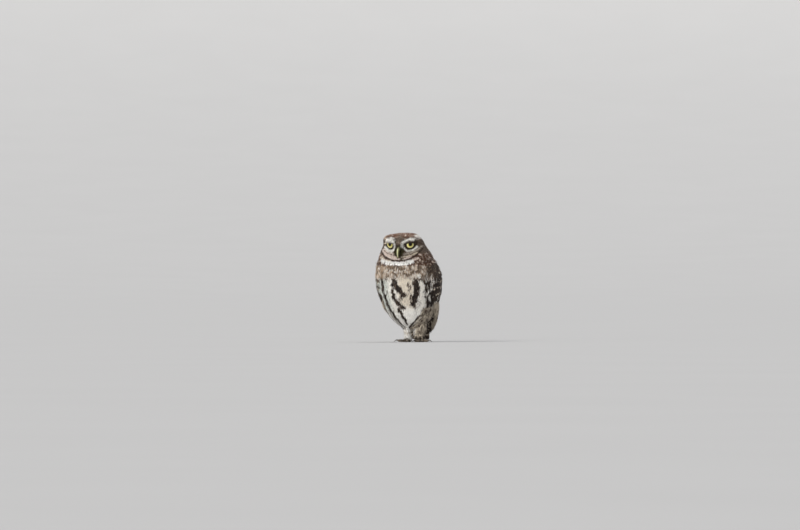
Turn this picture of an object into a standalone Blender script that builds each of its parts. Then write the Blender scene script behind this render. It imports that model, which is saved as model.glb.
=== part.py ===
"""A little owl at life size, standing upright: a still model for display.

Sizes are in millimetres until the last step, which scales them to metres. The bird faces -Y and its
left side is +X. Each soft form starts as a sphere whose rings are moved onto named sections, and
touching pieces are cut clear of each other by a gap.
"""

import math

import bmesh
import bpy
from mathutils import Matrix, Vector

METRE = 1000.0
GAP = 0.3  # between touching pieces

# Sections of the head, neck and trunk as one form: height, middle, half width, and the front and back
# from the leg line. The upper body leans to the bird's right.
BODY_SECTIONS = (
    (22.5, -6.0, 2.0, 1.0, 7.0),
    (25.5, -5.5, 15.0, -8.0, 19.0),
    (33.0, -3.5, 28.0, -19.0, 28.0),
    (45.0, -3.5, 40.0, -30.5, 36.5),
    (62.0, -5.0, 48.0, -39.0, 42.5),
    (82.0, -6.3, 52.5, -45.0, 44.5),
    (105.0, -7.2, 56.5, -48.0, 43.5),
    (125.0, -7.8, 57.5, -47.5, 41.0),
    (141.0, -10.0, 56.0, -45.0, 38.0),
    (153.0, -11.8, 52.5, -42.5, 34.5),
    (164.0, -12.8, 46.5, -39.5, 30.0),
    (175.0, -14.2, 39.8, -38.5, 26.0),
    (185.0, -15.6, 36.0, -36.5, 22.0),
    (192.0, -16.2, 32.0, -31.0, 18.0),
    (197.0, -14.5, 24.0, -22.0, 13.0),
    (199.5, -12.0, 13.5, -13.0, 7.0),
    (200.2, -11.0, 2.0, -5.0, -1.0),
)
# The heights of the rings from top to bottom: close together on the face and wide apart on the trunk.
RING_HEIGHTS = (
    (200.2, 199.4, 196.8, 193.0, 189.0, 185.5, 182.0, 178.5, 175.0, 171.5, 168.0, 164.0, 159.0, 153.0)
    + (145.5, 136.0, 124.5, 111.5, 97.5, 83.0, 69.0, 56.0, 45.0, 36.0, 29.5, 25.2, 22.5)
)
BODY_AROUND, BODY_RINGS = 50, len(RING_HEIGHTS) - 1
FRONT_DENSITY = 0.4  # rings have closer points at the front, for the face
TRUNK_SQUARE, HEAD_SQUARE = 2.15, 2.4  # exponents of the sections' outline

# The head's own frame, and the features on it. Lateral is towards the bird's left.
HEAD_CENTRE = Vector((-14.6, -9.0, 176.0))
HEAD_TURN = math.radians(-2.0)
EYE_LATERAL, EYE_FORWARD, EYE_UP, EYE_RADIUS = 16.6, 18.2, 1.5, 9.3
EYE_SPLAY = math.radians(17.0)
SOCKET_DEPTH, SOCKET_RADIUS = 5.0, 10.0
# The brow's middle line, lateral and up from the head's centre.
BROW = ((3.0, 0.0), (10.0, 8.0), (17.0, 12.0), (25.0, 12.5), (30.0, 9.0))
BROW_HEIGHT, BROW_RADIUS = 4.2, 5.5
MUZZLE_HEIGHT, MUZZLE_RADIUS, MUZZLE_UP = 3.0, 5.5, -8.0
CHEEK_HEIGHT, CHEEK_RADIUS = 2.6, 7.5
CHEEK_PLACE = (17.0, -15.0)

# Cuts between head, neck and trunk: height on the axis and forward slope of each plane.
HEAD_CUT, HEAD_CUT_SLOPE = 152.5, 0.16
NECK_CUT, NECK_CUT_SLOPE = 139.0, 0.22

# The bill: forward, up and radius along its ridge, from base to tip, in the head's frame.
UPPER_BILL = (
    (26.5, -6.0, 2.6),
    (32.5, -6.4, 3.9),
    (36.2, -9.0, 3.7),
    (38.4, -13.0, 3.0),
    (38.4, -18.0, 2.0),
    (36.8, -22.4, 0.5),
)
LOWER_BILL = (
    (26.5, -15.2, 2.2),
    (31.0, -15.4, 2.5),
    (34.0, -16.2, 1.7),
    (35.2, -17.2, 0.6),
)
BILL_FLATTEN = 0.82  # width against height

# The folded left wing wraps round this hull: height, middle, half width, front and back.
WING_HULL = (
    (8.0, 0.5, 21.0, 8.0, 55.0),
    (24.0, 0.0, 29.0, -6.0, 52.0),
    (42.0, -2.0, 39.0, -25.0, 47.0),
    (62.0, -5.0, 47.0, -39.0, 43.5),
    (82.0, -6.3, 52.5, -45.0, 44.5),
    (105.0, -7.2, 56.5, -48.0, 43.5),
    (125.0, -7.8, 57.5, -47.5, 41.0),
    (141.0, -10.0, 56.0, -45.0, 38.0),
    (153.0, -11.8, 52.5, -42.5, 34.5),
)
# Its edges from shoulder to tip: height, and the bearings of the front and rear edges from straight ahead.
WING_EDGES = (
    (150.0, 84.0, 90.0),
    (143.0, 67.0, 118.0),
    (128.0, 59.0, 143.0),
    (108.0, 60.0, 153.0),
    (86.0, 68.0, 156.0),
    (64.0, 82.0, 158.0),
    (44.0, 100.0, 160.0),
    (26.0, 120.0, 160.0),
    (14.0, 140.0, 157.0),
)
WING_OUT, WING_IN = 3.6, 3.0  # how far the wing stands outside and inside the hull
WING_AROUND, WING_RINGS = 16, 15

# The tail: centre line (back, up), half breadth and half thickness from root to tip.
TAIL_LINE = (
    (30.0, 62.0, 9.0, 5.0),
    (41.0, 50.0, 15.0, 6.5),
    (48.5, 34.0, 16.5, 5.2),
    (53.5, 18.0, 17.5, 3.6),
    (56.8, 6.0, 18.0, 2.4),
    (57.6, 3.4, 13.0, 1.2),
)

# Legs. Each row is height, forward offset and radius.
LEG_LATERAL, LEG_BACK = 11.0, 5.0
THIGH_LINES = {
    "right": ((44.0, 0.0, 8.0), (35.0, 0.0, 12.5), (26.0, 1.0, 11.5), (18.5, 1.0, 7.5)),
    "left": ((46.0, 0.0, 9.0), (34.0, 0.0, 15.0), (22.0, 0.0, 14.0), (11.0, 1.0, 8.5)),
}
TARSUS_LINE = ((30.0, 1.0, 4.2), (22.0, 1.5, 5.0), (12.0, 0.5, 4.8), (7.0, 0.0, 5.8), (4.2, 0.0, 4.5))
PAD_RADIUS, PAD_TOP = 6.0, 4.6
# Each toe: bearing from straight ahead towards the outer side, length and radius at its root.
TOES = {
    "inner": (-16.0, 17.5, 2.7),
    "middle": (14.0, 22.0, 2.8),
    "outer": (76.0, 19.0, 2.6),
    "hind": (-168.0, 12.0, 2.6),
}
TOE_HEIGHT, TOE_TIP_RADIUS = 2.3, 2.5
CLAW_LENGTH, CLAW_RADIUS, CLAW_TIP, CLAW_CLEAR = 8.5, 1.55, 0.3, 0.25

FEATHER_BROWN, FEATHER_PALE = (0.16, 0.105, 0.07), (0.66, 0.60, 0.50)
BILL_HORN, CLAW_HORN = (0.56, 0.55, 0.28), (0.04, 0.034, 0.03)
EYE_YELLOW, TOE_SKIN = (0.80, 0.66, 0.08), (0.42, 0.36, 0.27)


def between(low, high, value):
    """A smooth step from 0 at low to 1 at high."""
    t = min(max((value - low) / (high - low), 0.0), 1.0)
    return t * t * (3 - 2 * t)


def along(rows, t):
    """The row at t, from 0 to 1, on a smooth curve through evenly spaced rows of numbers."""
    at = min(max(t, 0.0), 1.0) * (len(rows) - 1)
    i = min(int(at), len(rows) - 2)
    f = at - i
    before, a, b, after = (rows[min(max(i + k, 0), len(rows) - 1)] for k in (-1, 0, 1, 2))
    return [
        0.5 * (2 * q + (r - p) * f + (2 * p - 5 * q + 4 * r - s) * f**2 + (3 * q - p - 3 * r + s) * f**3)
        for p, q, r, s in zip(before, a, b, after)
    ]


def at_height(rows, height):
    """The other numbers of the row at a height, on a smooth curve through rows that start with it."""
    low, high = 0.0, 1.0
    for _ in range(30):
        middle = (low + high) / 2
        if along(rows, middle)[0] < height:
            low = middle
        else:
            high = middle
    return along(rows, low)[1:]


def bump(distance, radius):
    """A round swelling: 1 at its middle and near 0 beyond twice its radius."""
    return math.exp(-((distance / radius) ** 2))


def from_segment(point, start, end):
    """The distance of a flat point from the segment between two others."""
    p, a, b = Vector(point), Vector(start), Vector(end)
    t = min(max((p - a).dot(b - a) / (b - a).length_squared, 0.0), 1.0)
    return (p - a.lerp(b, t)).length


def head_directions():
    """The head's lateral and forward directions."""
    forward = Vector((math.sin(HEAD_TURN), -math.cos(HEAD_TURN), 0))
    return Vector((-forward.y, forward.x, 0)), forward


def on_head(lateral, forward, up):
    """A point given in the head's own frame."""
    side, ahead = head_directions()
    return HEAD_CENTRE + side * lateral + ahead * forward + Vector((0, 0, up))


def sphere_form(name, collection, around, rings, shape):
    """A closed form: a sphere whose points go to shape(t, angle), with t from pole to pole."""
    mesh = bpy.data.meshes.new(name)
    form = bmesh.new()
    bmesh.ops.create_uvsphere(form, u_segments=around, v_segments=rings, radius=1)
    for v in form.verts:
        t = math.acos(min(max(v.co.z, -1), 1)) / math.pi
        v.co = shape(t, math.atan2(v.co.y, v.co.x))
    if form.calc_volume(signed=True) < 0:
        bmesh.ops.reverse_faces(form, faces=form.faces)
    form.to_mesh(mesh)
    form.free()
    made = bpy.data.objects.new(name, mesh)
    collection.objects.link(made)
    return made


def tube_form(name, collection, around, rings, line, side, flatten=1.0):
    """A tapering tube along line(t), which gives a centre and a radius. Side is its fixed cross direction."""

    def shape(t, angle):
        centre, radius = line(t)
        step = line(min(t + 0.01, 1))[0] - line(max(t - 0.01, 0))[0]
        up = side.cross(step).normalized()
        end = math.sqrt(max(1 - abs(2 * t - 1) ** 8, 0))
        return centre + (side * math.cos(angle) * flatten + up * math.sin(angle)) * radius * end

    return sphere_form(name, collection, around, rings, shape)


def keep_side(obj, point, normal):
    """Cuts the mesh by a plane, drops what lies ahead of the normal and closes the cut."""
    form = bmesh.new()
    form.from_mesh(obj.data)
    everything = form.verts[:] + form.edges[:] + form.faces[:]
    cut = bmesh.ops.bisect_plane(
        form, geom=everything, plane_co=point, plane_no=normal, clear_outer=True, dist=0.01
    )
    edges = [e for e in cut["geom_cut"] if isinstance(e, bmesh.types.BMEdge)]
    caps = bmesh.ops.edgeloop_fill(form, edges=edges)["faces"]
    bmesh.ops.triangulate(form, faces=caps)
    bmesh.ops.recalc_face_normals(form, faces=form.faces)
    form.to_mesh(obj.data)
    form.free()


def swollen(obj, cutters):
    """A copy of obj as a cutter, larger by the gap all over."""
    cutter = obj.copy()
    cutter.name = obj.name + "_cutter"
    cutter.data = obj.data.copy()
    cutter.modifiers.clear()
    form = bmesh.new()
    form.from_mesh(cutter.data)
    form.normal_update()
    moves = [v.normal * GAP * v.calc_shell_factor() for v in form.verts]
    for v, move in zip(form.verts, moves):
        v.co += move
    form.to_mesh(cutter.data)
    form.free()
    cutters.objects.link(cutter)
    cutter.hide_render = True
    cutter.display_type = "WIRE"
    return cutter


def clear_of(obj, cutter_objects):
    """Cuts obj clear of each cutter with a Boolean."""
    for cutter in cutter_objects:
        cut = obj.modifiers.new("clear_of_" + cutter.name, "BOOLEAN")
        cut.operation = "DIFFERENCE"
        cut.solver = "EXACT"
        cut.object = cutter


def face_relief(lateral, up):
    """How far the face stands forward of the plain section, with brows, sockets and bill base."""
    side = abs(lateral)
    socket = bump(math.hypot(side - EYE_LATERAL - 1.5, up - EYE_UP), SOCKET_RADIUS)
    brow = bump(min(from_segment((side, up), a, b) for a, b in zip(BROW, BROW[1:])), BROW_RADIUS)
    muzzle = bump(math.hypot(lateral, 0.45 * (up - MUZZLE_UP)), MUZZLE_RADIUS)
    cheek = bump(math.hypot(side - CHEEK_PLACE[0], up - CHEEK_PLACE[1]), CHEEK_RADIUS)
    return BROW_HEIGHT * brow + MUZZLE_HEIGHT * muzzle + CHEEK_HEIGHT * cheek - SOCKET_DEPTH * socket


def section_point(middle, half, front, back, angle, square):
    """A flat point on a section's outline. Angle 0 is straight ahead and positive is to the left."""
    across, ahead = math.sin(angle), math.cos(angle)
    x = middle + half * math.copysign(abs(across) ** (2 / square), across)
    y = (front + back) / 2 - (back - front) / 2 * math.copysign(abs(ahead) ** (2 / square), ahead)
    return x, y


def body_point(t, angle):
    """A point of the head, neck and trunk as one form. Angle 0 is straight ahead."""
    height = along([(h,) for h in RING_HEIGHTS], t)[0]
    angle -= FRONT_DENSITY * math.sin(angle)
    square = TRUNK_SQUARE + (HEAD_SQUARE - TRUNK_SQUARE) * between(145, 175, height)
    x, y = section_point(*at_height(BODY_SECTIONS, height), angle, square)
    turn = HEAD_TURN * between(135, 150, height)
    pivot = Vector((HEAD_CENTRE.x, HEAD_CENTRE.y, 0))
    point = Matrix.Rotation(turn, 3, "Z") @ (Vector((x, y, height)) - pivot) + pivot
    if height < 135:
        return point
    side, forward = head_directions()
    from_centre = point - HEAD_CENTRE
    facing = between(8.0, 22.0, from_centre.dot(forward))
    relief = face_relief(from_centre.dot(side), from_centre.z)
    return point + forward * relief * facing


def cut_plane(height, slope):
    """A plane across the body that rises towards the back, as a point and an upward normal."""
    return Vector((0, 0, height)), Vector((0, -slope, 1)).normalized()


def make_body(solids):
    """The head, neck and trunk, parted by two thin cuts."""
    whole = sphere_form("whole", solids, BODY_AROUND, BODY_RINGS, lambda t, a: body_point(t, a + math.pi / 2))
    pieces = {}
    head_at, head_up = cut_plane(HEAD_CUT, HEAD_CUT_SLOPE)
    neck_at, neck_up = cut_plane(NECK_CUT, NECK_CUT_SLOPE)
    sides = {
        "head": [(head_at + head_up * GAP / 2, -head_up)],
        "neck": [(head_at - head_up * GAP / 2, head_up), (neck_at + neck_up * GAP / 2, -neck_up)],
        "trunk": [(neck_at - neck_up * GAP / 2, neck_up)],
    }
    for name, planes in sides.items():
        piece = bpy.data.objects.new(name, whole.data.copy())
        solids.objects.link(piece)
        for point, normal in planes:
            keep_side(piece, point, normal)
        pieces[name] = piece
    bpy.data.objects.remove(whole)
    return pieces


def make_eyes(solids):
    eyes = []
    for name, sign in (("eye_left", 1), ("eye_right", -1)):
        side, forward = head_directions()
        axis = forward * math.cos(EYE_SPLAY) + side * sign * math.sin(EYE_SPLAY)
        centre = on_head(sign * EYE_LATERAL, EYE_FORWARD, EYE_UP)
        across = axis.cross(Vector((0, 0, 1)))
        upward = across.cross(axis)

        def shape(t, angle, centre=centre, axis=axis, across=across, upward=upward):
            ring = EYE_RADIUS * math.sin(math.pi * t)
            around = across * math.cos(angle) + upward * math.sin(angle)
            return centre + axis * EYE_RADIUS * math.cos(math.pi * t) + around * ring

        eyes.append(sphere_form(name, solids, 16, 10, shape))
    return eyes


def make_bill(solids):
    side, _ = head_directions()
    halves = []
    for name, rows in (("bill_upper", UPPER_BILL), ("bill_lower", LOWER_BILL)):

        def line(t, rows=rows):
            forward, up, radius = along(rows, t)
            return on_head(0, forward, up), radius

        halves.append(tube_form(name, solids, 10, 10, line, side, BILL_FLATTEN))
    return halves


def make_wing(solids, name, sign):
    """A folded wing: a blunt-edged shell that wraps round the body's side and tapers to the tail."""

    def shape(t, angle):
        height, front_edge, rear_edge = along(WING_EDGES, t)
        rim = math.copysign(abs(math.cos(angle)) ** 0.8, math.cos(angle))
        bearing = (front_edge + rear_edge) / 2 + (front_edge - rear_edge) / 2 * rim
        hull = at_height(WING_HULL, height)
        x, y = section_point(*hull, sign * math.radians(bearing), TRUNK_SQUARE)
        outward = Vector((x - hull[0], y - (hull[2] + hull[3]) / 2, 0)).normalized()
        end = math.sqrt(max(1 - abs(2 * t - 1) ** 10, 0))
        thick = WING_OUT if math.sin(angle) > 0 else WING_IN
        rise = thick * math.copysign(abs(math.sin(angle)) ** 0.6, math.sin(angle)) * end
        return Vector((x, y, height)) + outward * rise

    return sphere_form(name, solids, WING_AROUND, WING_RINGS, shape)


def make_tail(solids):
    def shape(t, angle):
        back, up, half, thick = along(TAIL_LINE, t)
        ahead, behind = along(TAIL_LINE, min(t + 0.02, 1)), along(TAIL_LINE, max(t - 0.02, 0))
        step = Vector((0, ahead[0] - behind[0], ahead[1] - behind[1]))
        out = Vector((1, 0, 0)).cross(step).normalized()
        across = math.copysign(abs(math.cos(angle)) ** 0.6, math.cos(angle))
        rise = math.copysign(abs(math.sin(angle)) ** 0.8, math.sin(angle))
        end = math.sqrt(max(1 - abs(2 * t - 1) ** 16, 0))
        camber = out * -0.12 * half * across**2
        return Vector((half * across * end, back, up)) + out * thick * rise * end + camber

    return sphere_form("tail", solids, 16, 12, shape)


def leg_place(sign):
    return Vector((sign * LEG_LATERAL, LEG_BACK, 0))


def make_leg_tube(solids, name, rows, sign, rings):
    """A thigh or a tarsus, from rows of height, forward offset and radius."""
    place = leg_place(sign)

    def line(t):
        height, forward, radius = along(rows, t)
        return place + Vector((0, -forward, height)), radius

    return tube_form(name, solids, 12, rings, line, Vector((1, 0, 0)))


def make_pad(solids, name, sign):
    """The flat sole under the ankle, which carries the toes."""
    place = leg_place(sign)

    def line(t):
        return place + Vector((0, 0, PAD_TOP - t * (PAD_TOP + 2.0))), PAD_RADIUS

    pad = tube_form(name, solids, 12, 6, line, Vector((1, 0, 0)))
    keep_side(pad, Vector((0, 0, 0)), Vector((0, 0, -1)))
    return pad


def toe_direction(bearing, sign):
    angle = math.radians(bearing)
    return Vector((sign * math.sin(angle), -math.cos(angle), 0))


def make_toe(solids, name, sign, bearing, length, radius):
    """A toe with two raised knuckles and a flat underside."""
    place, ahead = leg_place(sign), toe_direction(bearing, sign)

    def line(t):
        reach = PAD_RADIUS - 1.5 + (length - PAD_RADIUS + 1.5) * t
        knuckle = 0.12 * math.sin(3 * math.pi * t) ** 2
        size = radius + (TOE_TIP_RADIUS - radius) * t
        return place + ahead * reach + Vector((0, 0, TOE_HEIGHT)), size * (1 + knuckle)

    toe = tube_form(name, solids, 8, 7, line, ahead.cross(Vector((0, 0, 1))))
    keep_side(toe, Vector((0, 0, 0)), Vector((0, 0, -1)))
    return toe


def make_claw(solids, name, sign, bearing, toe_length):
    """A claw that arches forward and down from the end of its toe to just above the floor."""
    place, ahead = leg_place(sign), toe_direction(bearing, sign)
    start = toe_length - 1.4
    high, low = TOE_HEIGHT + 0.4, CLAW_CLEAR + CLAW_TIP

    def line(t):
        rise = 1.3 * math.sin(math.pi * min(1.25 * t, 1))
        height = high + (low - high) * t**1.6 + rise
        radius = CLAW_RADIUS + (CLAW_TIP - CLAW_RADIUS) * t
        return place + ahead * (start + CLAW_LENGTH * t) + Vector((0, 0, height)), radius

    return tube_form(name, solids, 7, 7, line, ahead.cross(Vector((0, 0, 1))))


def make_foot(solids, cutters, name, sign, tarsus):
    """The pad, the toes and their claws, each cut clear of the piece that it grows from."""
    pad = make_pad(solids, f"foot_{name}", sign)
    clear_of(pad, [swollen(tarsus, cutters)])
    in_the_way = [swollen(pad, cutters), swollen(tarsus, cutters)]
    for toe_name, (bearing, length, radius) in TOES.items():
        toe = make_toe(solids, f"toe_{name}_{toe_name}", sign, bearing, length, radius)
        toe_cutter = swollen(toe, cutters)
        clear_of(toe, in_the_way)
        in_the_way.append(toe_cutter)
        claw = make_claw(solids, f"claw_{name}_{toe_name}", sign, bearing, length)
        clear_of(claw, [toe_cutter])


def make_legs(solids, cutters, trunk_cutter):
    in_the_way = [trunk_cutter]
    for name, sign in (("left", 1), ("right", -1)):
        thigh = make_leg_tube(solids, f"thigh_{name}", THIGH_LINES[name], sign, 9)
        tarsus = make_leg_tube(solids, f"tarsus_{name}", TARSUS_LINE, sign, 9)
        thigh_cutter = swollen(thigh, cutters)
        clear_of(thigh, in_the_way)
        in_the_way.append(thigh_cutter)
        clear_of(tarsus, in_the_way)
        make_foot(solids, cutters, name, sign, tarsus)


def material(name, colour, roughness, metallic=0.0):
    made = bpy.data.materials.new(name)
    made.use_nodes = True
    shader = made.node_tree.nodes["Principled BSDF"]
    shader.inputs["Base Color"].default_value = (*colour, 1)
    shader.inputs["Roughness"].default_value = roughness
    shader.inputs["Metallic"].default_value = metallic
    return made


def finish_materials(solids):
    """Gives each piece the material of its kind."""
    kinds = {
        "eye": material("eye", EYE_YELLOW, 0.05),
        "bill": material("bill", BILL_HORN, 0.35),
        "claw": material("claw", CLAW_HORN, 0.3),
        "toe": material("toe_skin", TOE_SKIN, 0.7),
        "foot": material("foot_skin", TOE_SKIN, 0.7),
        "tarsus": material("leg_feathers", FEATHER_PALE, 0.85),
        "thigh": material("thigh_feathers", FEATHER_PALE, 0.85),
    }
    body = material("body_feathers", FEATHER_BROWN, 0.85)
    for obj in solids.objects:
        obj.data.materials.append(kinds.get(obj.name.split("_")[0], body))
        obj.data.shade_smooth()


def stand_on_origin(solids, cutters):
    """Scales the model to metres and puts the middle of its footprint over the origin."""
    bpy.context.view_layer.update()
    graph = bpy.context.evaluated_depsgraph_get()
    corners = [Vector(c) for obj in solids.objects for c in obj.evaluated_get(graph).bound_box]
    middle = [(min(c[k] for c in corners) + max(c[k] for c in corners)) / 2 for k in (0, 1)]
    move = Matrix.Translation((-middle[0], -middle[1], 0))
    scale = Matrix.Diagonal((1 / METRE, 1 / METRE, 1 / METRE, 1))
    for obj in [*solids.objects, *cutters.objects]:
        obj.data.transform(scale @ move)


def main():
    for obj in list(bpy.data.objects):
        bpy.data.objects.remove(obj)
    solids = bpy.data.collections.new("little_owl")
    cutters = bpy.data.collections.new("cutters")
    for collection in (solids, cutters):
        bpy.context.scene.collection.children.link(collection)
    body = make_body(solids)
    eyes_and_bill = [*make_eyes(solids), *make_bill(solids)]
    eye_left, eye_right, bill_upper, bill_lower = eyes_and_bill
    clear_of(body["head"], [swollen(piece, cutters) for piece in eyes_and_bill])
    clear_of(bill_lower, [swollen(bill_upper, cutters)])
    tail = make_tail(solids)
    wings = [make_wing(solids, "wing_left", 1), make_wing(solids, "wing_right", -1)]
    trunk_cutter, neck_cutter = swollen(body["trunk"], cutters), swollen(body["neck"], cutters)
    tail_cutter = swollen(tail, cutters)
    clear_of(tail, [trunk_cutter])
    for wing in wings:
        clear_of(wing, [trunk_cutter, neck_cutter, tail_cutter])
    make_legs(solids, cutters, trunk_cutter)
    finish_materials(solids)
    stand_on_origin(solids, cutters)


main()
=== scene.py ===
"""The looks of a little owl at life size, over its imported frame.

Places are worked out in millimetres from a point on the floor by the ankles, with the bird facing -Y and
its left side towards +X. They become metres when a piece is made. A bearing is an angle round the body
from straight ahead, positive towards the bird's left.
"""

import math
from collections import namedtuple

import bpy
import numpy as np
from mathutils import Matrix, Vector
from mathutils.bvhtree import BVHTree


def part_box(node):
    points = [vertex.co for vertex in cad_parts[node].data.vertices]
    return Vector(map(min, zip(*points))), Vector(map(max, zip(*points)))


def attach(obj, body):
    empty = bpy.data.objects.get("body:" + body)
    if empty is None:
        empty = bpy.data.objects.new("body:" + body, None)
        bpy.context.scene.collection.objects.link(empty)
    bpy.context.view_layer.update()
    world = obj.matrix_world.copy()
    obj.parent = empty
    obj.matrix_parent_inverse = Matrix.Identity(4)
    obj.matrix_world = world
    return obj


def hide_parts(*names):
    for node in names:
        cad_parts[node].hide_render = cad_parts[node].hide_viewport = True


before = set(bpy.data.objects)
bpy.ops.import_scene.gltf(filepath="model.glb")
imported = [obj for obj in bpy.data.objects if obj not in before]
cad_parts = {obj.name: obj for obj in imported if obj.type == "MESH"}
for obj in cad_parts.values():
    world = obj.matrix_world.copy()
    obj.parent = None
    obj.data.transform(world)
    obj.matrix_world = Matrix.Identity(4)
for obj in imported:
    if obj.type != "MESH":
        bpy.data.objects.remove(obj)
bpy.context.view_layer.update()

METRE = 1000.0
ANKLE_BACK = 5.0  # how far the ankles lie behind the origin of the places below
SIDES = (("left", 1), ("right", -1))
WINGS, THIGHS = ("wing_left", "wing_right"), ("thigh_left", "thigh_right")
BODY_SLOT, THIGH_SLOT, LEG_SLOT = "body_feathers", "thigh_feathers", "leg_feathers"

# The body's sections: height, middle, half width, front and back.
BODY = np.array([
    (25.5, -5.5, 15, -8, 19),
    (33, -3.5, 28, -19, 28),
    (45, -3.5, 40, -30.5, 36.5),
    (62, -5, 48, -39, 42.5),
    (82, -6.3, 52.5, -45, 44.5),
    (105, -7.2, 56.5, -48, 43.5),
    (125, -7.8, 57.5, -47.5, 41),
    (141, -10, 56, -45, 38),
    (153, -11.8, 52.5, -42.5, 34.5),
    (164, -12.8, 46.5, -39.5, 30),
    (175, -14.2, 39.8, -38.5, 26),
    (185, -15.6, 36, -36.5, 22),
    (192, -16.2, 32, -31, 18),
    (200, -12, 13.5, -13, 7),
])
HEAD_CENTRE = np.array((-14.6, -9.0, 176.0))
HEAD_TURN = math.radians(-2.0)

# The eyes, in the head's frame: lateral, forward and up. Angles are seen from the eye's centre.
EYE_PLACE, EYE_RADIUS = (16.6, 18.2, 1.5), 9.3
EYE_SPLAY = math.radians(17.0)
CORNEA_RISE, CORNEA_ANGLE = 0.7, 40.0
IRIS_ANGLE, GAZE_LIFT, GAZE_LEFT = 48.0, math.radians(-1.0), math.radians(6.0)
LID_OUTER, LID_INNER, LID_ABOVE, LID_BELOW, LID_SQUARE, LID_TILT = 47.0, 37.0, 9.0, 45.0, 2.5, 5.0
# Rings of the lids outward from the opening: extra angle, height over the eyeball, and more height above
# the eye, where the lid runs up into the brow.
LID_RINGS = np.array([
    (-3, -0.4, 0),
    (0, 0.7, 0),
    (2, 0.95, 0),
    (5, 1, 0.2),
    (9, 1, 0.6),
    (16, 1.1, 1.4),
    (26, 1.2, 2.4),
    (38, 1.4, 2.6),
])
LID_RIM, LID_DARK = 1.5, 2.5  # the angles out to which the lids are bare, and dark

# The bill's ridge in the head's frame: forward, up and radius, from base to tip.
UPPER_BILL = (
    (26.5, -6, 2.6),
    (32.5, -6.4, 3.9),
    (36.2, -9.2, 3.7),
    (38.4, -13.5, 3),
    (38.4, -18.7, 2.1),
    (36.8, -23.4, 0.5),
)
LOWER_BILL = ((26.5, -15.2, 2.2), (31, -15.4, 2.5), (34, -16.2, 1.7), (35.2, -17.2, 0.5))
BILL_FLATTEN = 0.82

# The feet: toes by name, with bearing from straight ahead towards the outer side, and length.
LEG_LATERAL = 11.0
TOES = {"inner": (-16, 17.5), "middle": (14, 22), "outer": (76, 19), "hind": (-168, 12)}
CLAW_LENGTH, CLAW_RADIUS, CLAW_TIP, CLAW_CLEAR, TOE_HEIGHT = 8.5, 1.5, 0.25, 0.3, 2.3

# The wing's edges from shoulder to tip: height, and the bearings of its front and rear edges.
WING_EDGES = np.array([
    (150, 84, 90),
    (143, 67, 118),
    (128, 59, 143),
    (108, 60, 153),
    (86, 68, 156),
    (64, 82, 158),
    (44, 100, 160),
    (26, 120, 160),
    (14, 140, 157),
])

# How far the skin lies inside the solids, which reach out to the tips of the feathers.
COAT_DEPTH = {
    "head": 2.4, "neck": 4.5, "trunk": 5.5, "wing": 1.7, "tail": 1.1,
    "thigh": 3.4, "tarsus": 1.3, "foot": 0.2, "toe": 0.3,
}
OVERLAP = 0.4  # the solids swell by this much, so that they close into one skin
VOXEL = 1.15
# Rounds of smoothing: of the skin's depth, of its shape before and after it sinks in, and of the shoulders.
DEPTH_ROUNDS, ROUNDS_BEFORE, ROUNDS_AFTER, SHOULDER_ROUNDS = 14, 5, 6, 60
FLOOR_GAP = 0.05

# Where coats and markings change, by height and bearing.
NECK_TOP = 138  # above it, the neck is marked as the head is
SIDE_HEIGHTS = (68, 142)  # of the breast's feathers over the front of each wing
FLANK_TOP = 74
COVERTS_LOW, COVERTS_REAR = 52, 132  # coverts grow above the one, or behind the other
RUMP_LOW = 44

WHITE, CREAM, BUFF = (0.88, 0.86, 0.81), (0.70, 0.61, 0.48), (0.44, 0.32, 0.22)
# The cool white is white tinted with painted cool light, for the bird's right side.
COOL_LIGHT_WHITE, PURE_WHITE = (0.69, 0.74, 0.70), (0.95, 0.94, 0.91)
PALE_GREY, GREY_BROWN, UMBER = (0.42, 0.37, 0.31), (0.108, 0.079, 0.058), (0.072, 0.049, 0.036)
BROWN, RUFOUS, DARK = (0.044, 0.028, 0.019), (0.125, 0.057, 0.035), (0.015, 0.011, 0.009)
BLOTCH, PINKISH = (0.021, 0.015, 0.012), (0.72, 0.61, 0.54)
OLIVE, TOE_COLOUR, CLAW_COLOUR = (0.045, 0.04, 0.014), (0.15, 0.115, 0.08), (0.03, 0.025, 0.022)
CLAW_ROOT = (0.12, 0.10, 0.085)
IRIS_YELLOW, IRIS_DEEP, IRIS_INNER = (0.85, 0.80, 0.36), (0.60, 0.53, 0.17), (0.55, 0.45, 0.08)
IRIS_EDGE, PUPIL = (0.03, 0.025, 0.01), (0.004, 0.004, 0.004)
# The bill's side colour is its olive darkened with painted shade of the bristles over it.
BILL_PALE, SHADED_BILL_SIDE = (0.58, 0.58, 0.31), (0.10, 0.095, 0.035)

PATCH = 0.003  # size of a feather's patch on the bake map
CHARTS = {"wing_left": (0.66, 0.52), "wing_right": (0.66, 0.02), "tail": (0.84, 0.52)}

TRIES = 5  # places tried for each root that fits
TRAIL_STEPS = 4
NEIGHBOURS = [(i, j, k) for i in (-1, 0, 1) for j in (-1, 0, 1) for k in (-1, 0, 1)]
JITTER = np.array(((12.9898, 39.3468, 73.156), (78.233, 11.135, 52.235), (37.719, 83.155, 9.151)))


def unit(v):
    return v / np.maximum(np.linalg.norm(v, axis=-1, keepdims=True), 1e-9)


def dot(a, b):
    return (a * b).sum(axis=-1)


def ramp(start, end, value):
    """A smooth step from 0 at start to 1 at end."""
    t = np.clip((value - start) / (end - start), 0.0, 1.0)
    return t * t * (3 - 2 * t)


def mixed(a, b, share):
    share = np.asarray(share)[..., None]
    return np.asarray(a) * (1 - share) + np.asarray(b) * share


def from_line(points, line):
    """The distance of flat points from a line through a few corners."""
    best = np.full(len(points), 1e9)
    for a, b in zip(line, line[1:]):
        a, b = np.array(a, float), np.array(b, float)
        t = np.clip(dot(points - a, b - a) / max(dot(b - a, b - a), 1e-9), 0, 1)
        best = np.minimum(best, np.linalg.norm(points - (a + t[:, None] * (b - a)), axis=1))
    return best


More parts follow.
